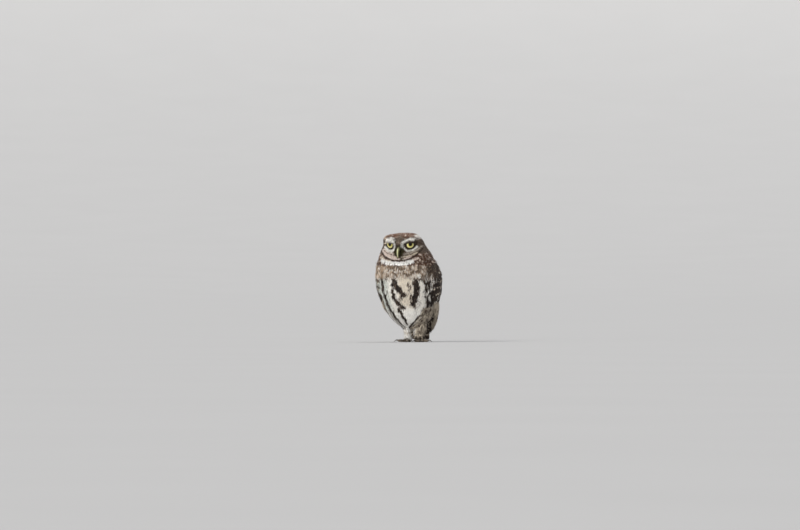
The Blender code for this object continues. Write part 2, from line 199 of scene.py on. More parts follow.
def origin_in_frame():
    """Where the origin of the places lies in the frame, in millimetres."""
    feet = np.array([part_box("foot_left"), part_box("foot_right")])
    x, y, _ = (feet[:, 0].min(axis=0) + feet[:, 1].max(axis=0)) / 2 * METRE
    return np.array((x, y - ANKLE_BACK, 0.0))


ORIGIN = origin_in_frame()
HEAD_SIDE = np.array((math.cos(HEAD_TURN), math.sin(HEAD_TURN), 0.0))
HEAD_FORWARD = np.array((math.sin(HEAD_TURN), -math.cos(HEAD_TURN), 0.0))
UP = np.array((0.0, 0.0, 1.0))


def on_head(lateral, forward, up):
    return HEAD_CENTRE + HEAD_SIDE * lateral + HEAD_FORWARD * forward + UP * up


def in_head(points):
    """Lateral, forward and up in the head's frame."""
    d = points - HEAD_CENTRE
    return d @ HEAD_SIDE, d @ HEAD_FORWARD, d[:, 2]


def eye_frame(sign):
    """An eye's centre and its axis, across and upward directions. Across points away from the bill."""
    lateral, forward, up = EYE_PLACE
    axis = HEAD_FORWARD * math.cos(EYE_SPLAY) + HEAD_SIDE * sign * math.sin(EYE_SPLAY)
    across = HEAD_SIDE * sign * math.cos(EYE_SPLAY) - HEAD_FORWARD * math.sin(EYE_SPLAY)
    return on_head(sign * lateral, forward, up), axis, across, UP


def body_at(height):
    """The body's middle, half width, front and back at some heights."""
    return [np.interp(height, BODY[:, 0], BODY[:, k]) for k in range(1, 5)]


def bearings(points):
    """The bearing of each point round the body, in degrees."""
    middle, half, front, back = body_at(points[:, 2])
    x = (points[:, 0] - middle) / half
    y = (points[:, 1] - (front + back) / 2) / ((back - front) / 2)
    return np.degrees(np.arctan2(x, -y))


def turns(around):
    """Angles evenly round a full turn."""
    return np.arange(around) / around * 2 * math.pi


# Making meshes


def new_mesh(name, points, faces):
    """A mesh from millimetre points and faces of one size."""
    mesh = bpy.data.meshes.new(name)
    mesh.vertices.add(len(points))
    mesh.vertices.foreach_set("co", ((points + ORIGIN) / METRE).astype(np.float32).ravel())
    mesh.loops.add(faces.size)
    mesh.loops.foreach_set("vertex_index", faces.astype(np.int32).ravel())
    mesh.polygons.add(len(faces))
    mesh.polygons.foreach_set("loop_start", np.arange(0, faces.size, faces.shape[1], dtype=np.int32))
    mesh.update(calc_edges=True)
    mesh.shade_smooth()
    return mesh


def mesh_points(mesh):
    """A mesh's points, in the script's millimetres."""
    co = np.empty(len(mesh.vertices) * 3, np.float32)
    mesh.vertices.foreach_get("co", co)
    return co.reshape(-1, 3).astype(float) * METRE - ORIGIN


def new_object(name, data):
    made = bpy.data.objects.new(name, data)
    bpy.context.scene.collection.objects.link(made)
    return made


def make_piece(name, points, faces, surface, attributes, replaced=()):
    """A piece of the owl, with point attributes of three or four numbers."""
    mesh = new_mesh(name, points, faces)
    for key, values in attributes.items():
        kind, field = ("FLOAT_COLOR", "color") if values.shape[1] == 4 else ("FLOAT_VECTOR", "vector")
        layer = mesh.attributes.new(key, kind, "POINT")
        layer.data.foreach_set(field, values.astype(np.float32).ravel())
    mesh.materials.append(surface)
    piece = new_object(name, mesh)
    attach(piece, "root")
    if replaced:
        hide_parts(*replaced)
    return piece


def grid_faces(rows, columns, closed=False):
    """Quads of a grid of points, row by row."""
    row = np.arange(rows - 1)[:, None] * columns
    column = np.arange(columns if closed else columns - 1)[None, :]
    after = (column + 1) % columns
    quads = np.stack((row + column, row + after, row + after + columns, row + column + columns), axis=-1)
    return quads.reshape(-1, 4)


def outward(points, faces):
    """Faces turned to point out of the body they close."""
    a, b, c, d = (points[faces[:, k]] for k in range(4))
    volume = dot(a, np.cross(b, c)).sum() + dot(a, np.cross(c, d)).sum()
    return faces if volume > 0 else faces[:, ::-1]


def smooth_rows(rows, count):
    """Rows of numbers brought to a count on a smooth curve through them."""
    rows = np.array(rows, float)
    at = np.linspace(0, len(rows) - 1, count)
    i = np.minimum(at.astype(int), len(rows) - 2)
    f = (at - i)[:, None]
    p, q, r, s = (rows[np.clip(i + k, 0, len(rows) - 1)] for k in (-1, 0, 1, 2))
    return 0.5 * (2 * q + (r - p) * f + (2 * p - 5 * q + 4 * r - s) * f**2 + (3 * q - p - 3 * r + s) * f**3)


def tube(centres, radii, side, around, flatten, ridge):
    """A closed tapering tube with pointed ends. Ridge narrows it towards the outer side."""
    angle = turns(around)
    step = np.gradient(centres, axis=0)
    out = unit(np.cross(side, step))
    width = np.cos(angle) * flatten * (1 - ridge * np.clip(np.sin(angle), 0, 1))
    ring = width[:, None] * side + np.sin(angle)[:, None] * out[:, None, :]
    radii = np.array(radii, float)
    radii[0] = radii[-1] = 0.02
    points = (centres[:, None, :] + ring * radii[:, None, None]).reshape(-1, 3)
    return points, outward(points, grid_faces(len(centres), around, closed=True))


# The skin


def cad_flesh():
    """Points, triangles and part names of the soft solids, swollen until they overlap."""
    points, triangles, parts, start = [], [], [], 0
    for name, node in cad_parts.items():
        part = name.split("_")[0]
        if part not in COAT_DEPTH:
            continue
        mesh = node.data
        mesh.calc_loop_triangles()
        faces = np.empty(len(mesh.loop_triangles) * 3, np.int32)
        mesh.loop_triangles.foreach_get("vertices", faces)
        co = mesh_points(mesh)
        # Corners that touch are one point, so that the solid swells without splitting.
        _, first, same = np.unique(np.round(co, 2), axis=0, return_index=True, return_inverse=True)
        co, faces = co[first], same.reshape(-1)[faces.reshape(-1, 3)]
        faces = faces[(faces != np.roll(faces, 1, axis=1)).all(axis=1)]
        points.append(co + point_normals(co, faces) * OVERLAP)
        triangles.append(faces + start)
        parts += [name if part in ("wing", "thigh") else part] * len(faces)
        start += len(co)
    return np.concatenate(points), np.concatenate(triangles), np.array(parts)


def point_normals(points, faces):
    a, b, c = (points[faces[:, k]] for k in range(3))
    across = np.cross(b - a, c - a)
    total = np.zeros_like(points)
    for k in range(faces.shape[1]):
        np.add.at(total, faces[:, k], across)
    return unit(total)


def remeshed(points, triangles):
    """One even skin of quads round overlapping solids."""
    source = new_object("flesh", new_mesh("flesh", points, triangles))
    remesh = source.modifiers.new("one_skin", "REMESH")
    remesh.mode = "VOXEL"
    remesh.voxel_size = VOXEL / METRE
    bpy.context.view_layer.update()
    done = source.evaluated_get(bpy.context.evaluated_depsgraph_get()).to_mesh()
    quads = np.empty(len(done.loops), np.int32)
    done.loops.foreach_get("vertex_index", quads)
    co = mesh_points(done)
    bpy.data.objects.remove(source)
    return co, quads.reshape(-1, 4)


def coat_depth(points, parts):
    """How far the skin lies inside the swollen solids: deeper on the crown and at the top of the wings."""
    depth = np.array([COAT_DEPTH[p.split("_")[0]] for p in parts]) + OVERLAP
    _, forward, up = in_head(points)
    depth += (parts == "head") * (0.9 * ramp(10, -6, forward) + 0.6 * ramp(8, 16, up))
    return depth + np.char.startswith(parts, "wing") * 3.2 * ramp(118, 142, points[:, 2])


class Mesher:
    """Averages numbers over the neighbours of each point."""

    def __init__(self, count, faces):
        edges = [np.stack((faces[:, k], faces[:, k - 1]), axis=1) for k in range(faces.shape[1])]
        edges = np.unique(np.sort(np.concatenate(edges), axis=1), axis=0)
        self.a, self.b, self.count = edges[:, 0], edges[:, 1], count
        self.degree = np.maximum(np.bincount(edges.ravel(), minlength=count), 1)

    def average(self, values):
        total = np.zeros_like(values)
        np.add.at(total, self.a, values[self.b])
        np.add.at(total, self.b, values[self.a])
        return total / (self.degree[:, None] if values.ndim == 2 else self.degree)

    def relaxed(self, points, rounds):
        """Points smoothed without shrinking."""
        for _ in range(rounds):
            for share in (0.5, -0.53):
                points = points + share * (self.average(points) - points)
        return points


class Skin:
    """The skin's shape, with smooth normals and the body part at each point."""

    def __init__(self):
        solid_points, solid_faces, solid_parts = cad_flesh()
        points, quads = remeshed(solid_points, solid_faces)
        mesher = Mesher(len(points), quads)
        tree = BVHTree.FromPolygons(solid_points.tolist(), solid_faces.tolist())
        parts = solid_parts[[tree.find_nearest(p)[2] for p in points.tolist()]]
        depth = coat_depth(points, parts)
        for _ in range(DEPTH_ROUNDS):
            depth = 0.5 * depth + 0.5 * mesher.average(depth)
        points = mesher.relaxed(points, ROUNDS_BEFORE)
        points = points - point_normals(points, quads) * depth[:, None]
        points = mesher.relaxed(points, ROUNDS_AFTER)
        height = points[:, 2]
        shoulder = ramp(128, 140, height) * ramp(166, 154, height) * ramp(40, 58, np.abs(bearings(points)))
        for _ in range(SHOULDER_ROUNDS):
            points = points + 0.5 * shoulder[:, None] * (mesher.average(points) - points)
        points[:, 2] = np.maximum(points[:, 2], FLOOR_GAP)
        self.rim, self.rooting = np.zeros(len(points), bool), np.ones(len(points), bool)
        self.set_surface(points, quads, parts)
        self.add_lids()

    def set_surface(self, points, quads, parts):
        self.points, self.quads, self.parts = points, quads, parts
        self.triangles = np.concatenate((quads[:, [0, 1, 2]], quads[:, [0, 2, 3]]))
        self.normals = point_normals(points, self.triangles)
        self.tree = BVHTree.FromPolygons(points.tolist(), self.triangles.tolist())

    def add_lids(self):
        """Joins the lids in, and lets feathers root on whichever surface is the outer one."""
        surfaces = [(self.points, self.quads, self.parts, self.rim, self.rooting)]
        start = len(self.points)
        for sign in (-1, 1):
            more, far = lid_angle(self.points, sign)
            height = np.interp(more, LID_RINGS[:, 0], LID_RINGS[:, 1])
            self.rooting &= (more > LID_RINGS[-1, 0]) | (far > EYE_RADIUS + height)
            points, quads, beyond = lids(sign)
            rooting = (beyond > LID_RIM) & (beyond < LID_RINGS[-1, 0])
            rooting &= ~self.buried(points, eye_frame(sign)[0])
            surfaces.append((points, quads + start, np.full(len(points), "head"), beyond < LID_DARK, rooting))
            start += len(points)
        points, quads, parts, self.rim, self.rooting = (np.concatenate(group) for group in zip(*surfaces))
        self.set_surface(points, quads, parts)

    def buried(self, points, centre):
        """Which points lie in the flesh or close under it, seen outward from a centre."""

        def covers(hit, way):
            return hit[3] > 0.3 if hit[1].dot(Vector(way)) > 0 else hit[3] < 0.8

        ways = unit(points - centre)
        hits = [self.tree.ray_cast(Vector(p), Vector(w)) for p, w in zip(points.tolist(), ways.tolist())]
        return np.array([h[0] is not None and covers(h, w) for h, w in zip(hits, ways)])

    def nearest(self, places):
        """The nearest skin to some places, its normals, and the index of a corner there."""
        found = [self.tree.find_nearest(p) for p in places.tolist()]
        at = np.array([f[0] for f in found])
        face = self.triangles[[f[2] for f in found]]
        return at, unit(self.normals[face].sum(axis=1)), face[:, 0]


def lid_edge(turn):
    """The lid opening's angle from the eye's axis, at each turn round it."""
    x, y = np.cos(turn - math.radians(LID_TILT)), np.sin(turn - math.radians(LID_TILT))
    wide, high = np.where(x > 0, LID_OUTER, LID_INNER), np.where(y > 0, LID_ABOVE, LID_BELOW)
    inside = np.abs(x / wide) ** LID_SQUARE + np.abs(y / high) ** LID_SQUARE
    return inside ** (-1 / LID_SQUARE)


def turned(a, b, angle):
    """Two directions at right angles, turned so that the first goes towards the second."""
    return a * math.cos(angle) + b * math.sin(angle), b * math.cos(angle) - a * math.sin(angle)


def eye_point(sign, turn, angle, height, lift=0.0, aside=0.0):
    """Places near an eye: turn round its axis, angle from it in degrees and height over the eyeball.

    Lift and aside turn the axis up and outward.
    """
    centre, axis, across, upward = eye_frame(sign)
    axis, across = turned(axis, across, aside)
    axis, upward = turned(axis, upward, lift)
    turn, angle = np.asarray(turn), np.radians(angle)
    flat = np.cos(turn)[..., None] * across + np.sin(turn)[..., None] * upward
    way = np.cos(angle)[..., None] * axis + np.sin(angle)[..., None] * flat
    return centre + way * (EYE_RADIUS + np.asarray(height))[..., None]


def lids(sign, around=72):
    """The lids round one eye: a rim that hugs the eyeball and runs out under the feathers."""
    turn = turns(around)
    edge, above = lid_edge(turn), ramp(0, 0.8, np.sin(turn))
    rings = [eye_point(sign, turn, edge + more, low + high * above) for more, low, high in LID_RINGS]
    points, faces = np.concatenate(rings), grid_faces(len(LID_RINGS), around, closed=True)
    facing = dot(point_normals(points, faces), points - eye_frame(sign)[0]).mean()
    return points, faces if facing > 0 else faces[:, ::-1], np.repeat(LID_RINGS[:, 0], around)


def lid_angle(points, sign):
    """Each point's angle beyond the lid opening of one eye, and its distance from the eye's centre."""
    centre, axis, across, upward = eye_frame(sign)
    far = np.linalg.norm(points - centre, axis=1)
    way = unit(points - centre)
    turn = np.arctan2(way @ upward, way @ across)
    angle = np.degrees(np.arccos(np.clip(way @ axis, -1, 1)))
    return angle - lid_edge(turn), far


def lid_reach(points):
    """How far each point lies outside the nearer lid opening, in millimetres."""
    angle = np.minimum(lid_angle(points, -1)[0], lid_angle(points, 1)[0])
    return np.radians(angle) * EYE_RADIUS


# Markings, the same for skin and feathers

# Lines of the face: colour, half width, side (0 for both, 1 for the bird's left, -1 for its right) and
# corners as lateral and up.
BROW = ((4.6, 1), (6.6, 4.8), (11.5, 8.4), (19, 10.4), (25, 9.8))
FACE_LINES = (
    (GREY_BROWN, 8, 0, ((38, 8), (38, -8))),
    (UMBER, 1.9, 0, ((33, 7.5), (37.5, 5))),
    (WHITE, 2.9, 1, ((25, 16.4), (30.5, 13.6))),
    (BUFF, 1.8, -1, ((27, 18.5), (30, 13))),
    (PALE_GREY, 2.6, -1, ((14, -14.5), (24, -14), (31, -10))),
    (GREY_BROWN, 4.6, 0, ((4, -21.5), (14, -18.5), (24, -15), (33, -7.5))),
    (PALE_GREY, 1.2, 1, ((4.9, -18), (14.8, -15.6), (24, -13.6), (32.7, -8), (36, -3))),
    (CREAM, 1.1, 1, ((5, -22.2), (14.8, -20.8), (24, -18.6), (31, -14.2))),
    (PINKISH, 5, -1, ((8, -20.5), (16, -19.5), (24, -16.5), (31, -11.5))),
    (PINKISH, 1.6, 0, ((0, -26), (8, -26), (15, -24.5), (22, -21.5))),
    (GREY_BROWN, 0.5, -1, ((5, -19.5), (14.8, -17.6), (24, -14.8), (32.7, -9))),
    (WHITE, 2.3, -1, ((10, -9.5), (15, -11.4), (22, -10), (28, -5.4))),
    (WHITE, 1.5, 0, ((9.5, -8.5), (15, -11.2), (22.5, -9.8), (28.7, -5.6), (30.2, -3))),
    (WHITE, 1.7, 1, BROW),
    (WHITE, 2, 1, ((4.4, 0.6), (5.8, -3.5), (9.5, -8.5))),
    (WHITE, 3.9, -1, ((13, 7.4), (16.5, 9.6), (24, 7.4))),
    (CREAM, 1.7, -1, ((24, 6), (28.5, 3.5))),
    (WHITE, 2.1, -1, ((10.6, 7), (8.9, 1.5), (8.5, -4), (11.5, -9.5))),
    # The olive beside the bill is its dark bristles, deepened with painted shade.
    (OLIVE, 3.4, 0, ((4.6, -9.5), (6.4, -12.5), (4.6, -17))),
    (OLIVE, 1, 1, ((3, -25.6), (8.5, -24.8))),
    (DARK, 0.9, 0, ((0, -28.6), (9.6, -28.4), (20, -25.6), (29, -20.6), (34.4, -14.5), (38.5, -6.5))),
    (GREY_BROWN, 3, 0, ((0, 14), (0, -3))),
    (GREY_BROWN, 2, -1, ((4, 14), (4, -3))),
    (CREAM, 1.4, -1, ((16, -30), (27, -27.6), (37, -22.5))),
    (PINKISH, 1.8, 1, ((24, -28.6), (34, -24))),
    (PURE_WHITE, 3.5, 1, ((0, -34.6), (12, -33.4), (24, -30.2))),
    (PURE_WHITE, 3.8, -1, ((0, -34.6), (12, -34), (24, -32.2), (34, -29))),
)
# Strokes of the underparts: half width in millimetres, strength and corners as bearing and height. Dark
# ones lie over the pale ones, and drops over both.
PALE_STROKES = (
    (3.8, 0.95, ((-12, 113.5), (-3.3, 110), (4, 98.5))),
    (3.8, 0.95, ((4.6, 114), (5.7, 96))),
    (3.6, 0.95, ((12, 114), (21, 112.5))),
    (2.6, 0.95, ((21, 106), (19, 92))),
    (4.2, 0.95, ((39.5, 109), (39, 95), (39.5, 85), (42.5, 72.4))),
    (3.6, 0.95, ((42.5, 72.4), (35.5, 62), (32, 53), (25, 44))),
    (2.2, 0.75, ((59, 118.4), (60.5, 114))),
    (1.8, 0.6, ((62, 109.1), (62.5, 105.3))),
    (2.1, 0.75, ((60.7, 100.4), (63, 95.4))),
    (2.4, 0.95, ((49.5, 90.5), (50.8, 86))),
    (2.6, 0.95, ((59.1, 83), (61.6, 78))),
    (1.8, 0.95, ((4.8, 92), (4.6, 82.3), (3.9, 66))),
    (1.6, 0.95, ((15, 86), (7.5, 74.9))),
    (3.2, 0.95, ((-57, 122), (-58.4, 103.5), (-59, 93.5), (-58, 78.6), (-57.7, 66), (-63, 43))),
    (3.8, 0.95, ((-27.6, 113.4), (-30, 97.3), (-30.2, 87.3), (-28.4, 75), (-23.5, 66), (-14.3, 50))),
    (2.6, 0.95, ((-29, 48), (-27.8, 37), (-21.4, 32))),
    (3, 0.95, ((-75, 119), (-72, 106))),
    (9, 0.95, ((0, 60), (14, 57), (12, 44), (2, 33))),
)
DARK_STROKES = (
    (4.9, 1, ((-18, 112), (-15, 102), (-5.2, 93), (0.2, 87.5))),
    (1.9, 0.9, ((-23.5, 107), (-22, 95))),
    (3.4, 1, ((-21.8, 93.5), (-24, 85), (-20, 76.7), (-12.6, 70.5), (-5.6, 66.8))),
    (5.4, 1, ((26.2, 109), (28.6, 97.3), (26.3, 87.3), (24, 81.1), (20.5, 73))),
    (2, 1, ((24, 115), (31.6, 115.5), (40, 113.5), (49, 107.8), (56.7, 102.8))),
    (1.6, 0.9, ((33, 125), (39, 121), (39, 117))),
    (2.8, 1, ((50, 107.8), (48, 94))),
    (2.3, 1, ((45.1, 92.3), (53.9, 96), (65.5, 88.6), (73.3, 79.9), (77.5, 72.4))),
    (2.3, 1, ((49, 84), (54.5, 76.1), (53.8, 67.4), (47, 57))),
    (3.8, 1, ((-50.3, 115), (-48.5, 104))),
    (3.6, 1, ((-52, 98.5), (-50, 89))),
    (2.9, 0.9, ((-49.5, 106), (-52, 97), (-49, 86), (-44, 72))),
    (3.2, 1, ((-46.5, 85), (-47.5, 77))),
    (3.3, 1, ((-73, 102), (-74, 76), (-71, 62.7), (-77, 45.3))),
    (3.9, 1, ((-46, 71), (-39.5, 56), (-37.7, 44.7), (-39.2, 32))),
    (3.5, 1, ((-16, 62), (-11.7, 49), (-7.3, 38.5))),
    (2.1, 0.85, ((-13, 69), (-6.4, 63.5), (0, 64.5))),
    (3, 0.62, ((-10, 83), (-4, 75))),
    (2.6, 0.62, ((12.1, 105.3), (14.4, 99.1))),
    (1.6, 0.9, ((16.2, 86), (16.9, 83))),
    (2.6, 0.64, ((15.5, 79), (17.5, 72), (25, 65))),
    (2.2, 1, ((37, 50), (24, 40.5), (11.5, 34.6), (-7, 28.8))),
    (2.4, 0.8, ((2, 125), (8, 119))),
    (2.2, 0.75, ((12, 122), (17, 116.5))),
    (2.4, 0.8, ((-16, 125), (-12, 119))),
)
DROP_STROKES = (
    (2.3, 1, ((-17.5, 94.5), (-11, 83.5))),
    (1.3, 0.8, ((-6, 78), (1, 72))),
    (2.2, 1, ((27, 121), (33.6, 119.4))),
)
STROKE_RADIUS = 50.0  # turns bearings into millimetres for the strokes
# Where the fluff of the left thigh begins: heights and the bearings there.
THIGH_EDGE = ((27, 36, 45, 55, 68), (1, 20, 34, 40, 43.5))


def blotches(points, spacing, radius, soft=0.7):
    """Scattered round spots on the surface, from 0 to 1."""
    cell = np.floor(points / spacing)
    nearest = np.full(len(points), 1e9)
    for step in np.ndindex(3, 3, 3):
        corner = cell + np.array(step) - 1
        jitter = np.modf(np.abs(np.sin(corner @ JITTER) * 43758.5453))[0]
        centre = (corner + 0.1 + 0.8 * jitter) * spacing
        nearest = np.minimum(nearest, np.linalg.norm(points - centre, axis=1))
    return ramp(radius + soft, radius - soft, nearest)


def stroke_weight(flat, strokes):
    """How far points lie on some strokes, from 0 to 1."""
    weight = np.zeros(len(flat))
    for half, strength, line in strokes:
        line = [(math.radians(a) * STROKE_RADIUS, z) for a, z in line]
        weight = np.maximum(weight, strength * ramp(half + 1.9, half - 1.4, from_line(flat, line)))
    return weight


def underparts(points):
    """How dark the underparts are, from 0 to 1, with painted shade on the bird's left side."""
    around, height = bearings(points), points[:, 2]
    ripple = np.sin(0.55 * height + 0.8 * np.sin(0.23 * around))
    flat = np.stack((np.radians(around) * STROKE_RADIUS + 1.1 * ripple, height), axis=1)
    streaks = 0.5 + 0.5 * np.cos(np.radians(around) * 26 + height * 0.09)
    dark = 0.22 + 0.45 * streaks * ramp(38, 50, np.abs(around))
    # Painted shade: the bird's left side is darkened from bearing 46 outward, above a height of about 60.
    dark = dark + 0.2 * ramp(46, 58, around) * ramp(62, 74, height)
    dark = dark + 0.9 * (1 - dark) * ramp(46, 60, around) * ramp(60, 72, height)
    dark = dark * (1 - stroke_weight(flat, PALE_STROKES))
    collar = 0.78 * ramp(114, 124, height + 0.06 * np.abs(around - 6))
    dark = dark + (1 - dark) * collar
    gaps = 0.4 * blotches(points * (1, 1, 0.7), 6.3, 1.5, 1.2)
    dark = dark + (1 - dark) * stroke_weight(flat, DARK_STROKES) * (1 - gaps)
    dark = dark * (1 - stroke_weight(flat, DROP_STROKES))
    broken = 0.75 * blotches(points * (1, 1, 0.6), 7.2, 1.9, 1.0) * ramp(30, 40, np.abs(around))
    # Fewer flecks break the streaks on the bird's left side, which keeps its painted shade dark.
    broken = broken * ramp(122, 114, height) * (1 - 0.4 * ramp(44, 56, around))
    return dark * (1 - broken) + (1 - dark) * broken


def is_under(points):
    """1 on the underparts and 0 on the back."""
    around = bearings(points)
    shoulder = ramp(100, 128, points[:, 2])
    edge = np.where(around > 0, 92 - 18 * shoulder, 104 - 22 * shoulder)
    return ramp(edge + 7, edge - 7, np.abs(around))


def is_side(points, parts):
    """The front of each wing's upper part, which the feathers of the breast's side cover."""
    low, high = SIDE_HEIGHTS
    height, reach = points[:, 2], 70 + 8 * ramp(80, 100, points[:, 2])
    return np.isin(parts, WINGS) & (height > low) & (height < high) & (np.abs(bearings(points)) < reach)


def is_flank(points, parts):
    """The front of each wing's lower part, which the fluff of the flank covers."""
    height, reach = points[:, 2], 116 + 26 * ramp(56, 40, points[:, 2])
    return np.isin(parts, WINGS) & (height < FLANK_TOP) & (np.abs(bearings(points)) < reach)


def head_markings(points, rng):
    """Base colours of the head's feathers, and how much of the pale crown spots each shows."""
    lateral, forward, up = in_head(points)
    flat = np.stack((np.abs(lateral), up), axis=1)
    wobble = rng.uniform(-1, 1, len(points))
    base = mixed(BROWN, RUFOUS, np.maximum(ramp(9, 17, up), 0.5 * ramp(-8, -14, up)))
    front = ramp(-9, -3, forward + 3.5 * ramp(10, 14, up))
    disc = ramp(1.15, 0.95, (lateral / 38) ** 2 + ((up + 5) / 24) ** 2)
    spots = 1 - front * disc * ramp(9, 5, up)
    sparse = np.where(rng.random(len(points)) < 0.16, 0.35, 1.0)
    for colour, half, side, line in FACE_LINES:
        weight = ramp(half + 0.9, half - 0.7, from_line(flat, line) + wobble) * front
        weight = weight * sparse * ((side == 0) | (np.sign(lateral) == side))
        base, spots = mixed(base, colour, weight), spots * (1 - weight)
    spots = np.maximum(spots, 0.6 * ramp(7, 5, np.abs(lateral)) * ramp(-1, 4, up))
    reach = lid_reach(points)
    inner = ramp(13, 11, lateral) * ramp(6, 8.5, lateral) * ramp(-6, -3, up)
    # Painted shade under the brow: grey-brown over the lid above each eye, strongest above the bird's left
    # eye, and the dark rim widened there.
    above = ramp(1, 3, up) * np.where(lateral > 0, 1.0, 0.3)
    base = mixed(base, GREY_BROWN, 0.7 * (above * ramp(5, 3, reach)))
    wide = np.where(lateral > 0, 0.4, 0.0) + 1.9 * inner + 1.5 * above
    rim = ramp(wide + 0.8, wide - 0.4, reach)
    return mixed(base, DARK, rim), spots * (1 - rim)


class Marks:
    """Base colours, mark colours and mark shapes of the feathers whose tips lie at some points.

    A mark's shape is its offset from the shaft, half width, place and half length, as shares of the vane.
    """

    def __init__(self, points, parts, rng):
        self.points, self.parts, self.rng, self.count = points, parts, rng, len(points)
        self.around, self.height = bearings(points), points[:, 2]
        self.base, self.mark = np.tile(BROWN, (self.count, 1)), np.tile(WHITE, (self.count, 1))
        self.shape = np.tile((0.0, 0.4, 0.8, 0.13), (self.count, 1))
        self.luck = self.chance()
        self.add_upper_side()
        self.add_head()
        self.add_underside()
        self.add_legs(self.add_fluff())

    def chance(self):
        """A random number from 0 to 1 for each feather."""
        return self.rng.random(self.count)

    def paint(self, chosen, base=None, mark=None, shape=()):
        """Changes the chosen feathers' colours, and as many numbers of their marks' shapes as are given."""
        if base is not None:
            self.base[chosen] = base[chosen]
        if mark is not None:
            self.mark[chosen] = mark[chosen]
        for k, values in enumerate(shape):
            self.shape[chosen, k] = np.broadcast_to(values, self.count)[chosen]

    def add_upper_side(self):
        """Pale spots on brown, largest on the scapulars."""
        parts, height, behind, luck = self.parts, self.height, np.abs(self.around), self.luck
        spot = mixed(CREAM, WHITE, self.chance())
        half, place = 0.2 + 0.16 * self.chance(), 0.62 + 0.2 * self.chance()
        length = (0.07 + 0.1 * self.chance()) * (luck < 0.56)
        upper = np.isin(parts, ("neck", "trunk", "head", "tail", *WINGS))
        self.paint(upper, None, spot, (np.where(luck < 0.28, 0.45, 0.0), half, place, length))
        # The wings' brown is darkened halfway to near black: partly their own dark colour, partly painted
        # shade for the wing on the bird's left, which lies in shadow. The same darkening is on both wings. It
        # is lighter umber towards the shoulder.
        wing = mixed(mixed(BROWN, BLOTCH, 0.5), UMBER, 0.8 * ramp(110, 128, height))
        self.paint(np.isin(parts, WINGS), wing)
        scapular = (parts == "trunk") & (behind > 88) & (behind < 152) & (height > 92)
        self.paint(scapular, None, None, (np.where(luck < 0.6, 0.5, 0.0), 0.36, 0.76, 0.16 * (luck < 0.8)))

    def add_head(self):
        """The face, the crown's spots, a mantle in the same colours, and a pale band on the nape."""
        points, parts, height, luck = self.points, self.parts, self.height, self.luck
        head = (parts == "head") | ((parts == "neck") & (height > NECK_TOP))
        colours, spots = head_markings(points, self.rng)
        up = in_head(points)[2]
        flecks = blotches(points, 4.6, 1.35, 0.6) * ramp(8, 12, up)
        flecks = np.maximum(flecks, blotches(points, 5.6, 2.1) * ramp(8, 2, up))
        pale = mixed(BUFF, PINKISH, self.chance())
        self.paint(head, mixed(colours, pale, flecks * spots * (luck < 0.75)))
        faded = ramp(112, 146, height)
        mantle = mixed(mixed(BROWN, RUFOUS, 0.5 * faded), pale, 0.8 * flecks * faded)
        self.paint((parts == "trunk") & (height > 112), mantle)
        spot = mixed(BUFF, WHITE, 0.7 * self.chance())
        half, place = 0.22 + 0.2 * self.chance(), 0.62 + 0.2 * self.chance()
        self.paint(head & (spots > 0.3), None, spot, (0.0, half, place, 0.16 * spots * (luck < 0.45)))
        self.shape[head & (spots <= 0.3), 3] = 0.0
        behind = np.abs(self.around)
        nape = np.isin(parts, ("head", "neck")) & (behind > 105) & (height < 178)
        band = ramp(5.5, 1.5, np.abs(height - 158 - 0.16 * np.abs(180 - behind)))
        self.paint(nape, mixed(self.base, CREAM, band * 0.75 * (luck < 0.6)))

    def ground(self):
        """The underside's pale ground: cool on the bird's right as painted cool light, whitest below, creamy
        on the breast.
        """
        ground = mixed(WHITE, COOL_LIGHT_WHITE, ramp(-24, -44, self.around))
        ground = mixed(ground, PURE_WHITE, ramp(66, 54, self.height))
        heart = 0.6 * ramp(24, 10, np.abs(self.around - 6)) * ramp(60, 72, self.height)
        return mixed(ground, CREAM, 0.25 * self.luck + heart)

    def streaks(self, dark):
        """The underside's brown: near black in the strongest streaks, light and warm in the collar, and
        darkened on the bird's left side as painted shade.
        """
        around, height = self.around, self.height
        warm = ramp(-20, -50, around) * ramp(112, 122, height)
        tan = warm * np.where(self.chance() < 0.8, 0.95, 0.15)
        sides = 0.28 + 0.24 * ramp(12, 24, np.abs(around - 2))
        # The collar is not lightened on the bird's left side, which keeps that side's painted shade.
        lighter = mixed(GREY_BROWN, BUFF, sides * ramp(110, 122, height) * ramp(56, 44, around))
        brown = mixed(mixed(UMBER, lighter, self.chance()), BUFF, tan)
        strong = ramp(0.7, 0.95, dark) * ramp(118, 112, height) * (self.chance() < 0.85)
        # Painted shade: the brown goes towards near black on the bird's left side.
        return mixed(mixed(brown, BLOTCH, strong), BLOTCH, 0.35 * ramp(46, 64, around))

    def add_underside(self):
        """Broken streaks on a pale ground, below a collar mottled with pale flecks."""
        points, parts, around, height, luck = self.points, self.parts, self.around, self.height, self.luck
        under = is_under(points) * np.isin(parts, ("neck", "trunk")) + is_side(points, parts)
        self.under = under = np.where((parts == "neck") & (height > NECK_TOP), 0.0, under) > 0.5
        dark, ground = underparts(points), self.ground()
        brown = self.streaks(dark)
        doubt = 0.2 + 0.15 * ramp(12, 4, np.abs(height - 116))
        doubt = doubt * self.rng.uniform(-1, 1, self.count)
        chosen = mixed(ground, brown, ramp(0.38, 0.62, dark + doubt))
        mottled = blotches(points, 6.0, 2.8 + 0.7 * ramp(136, 124, height)) * ramp(110, 120, height)
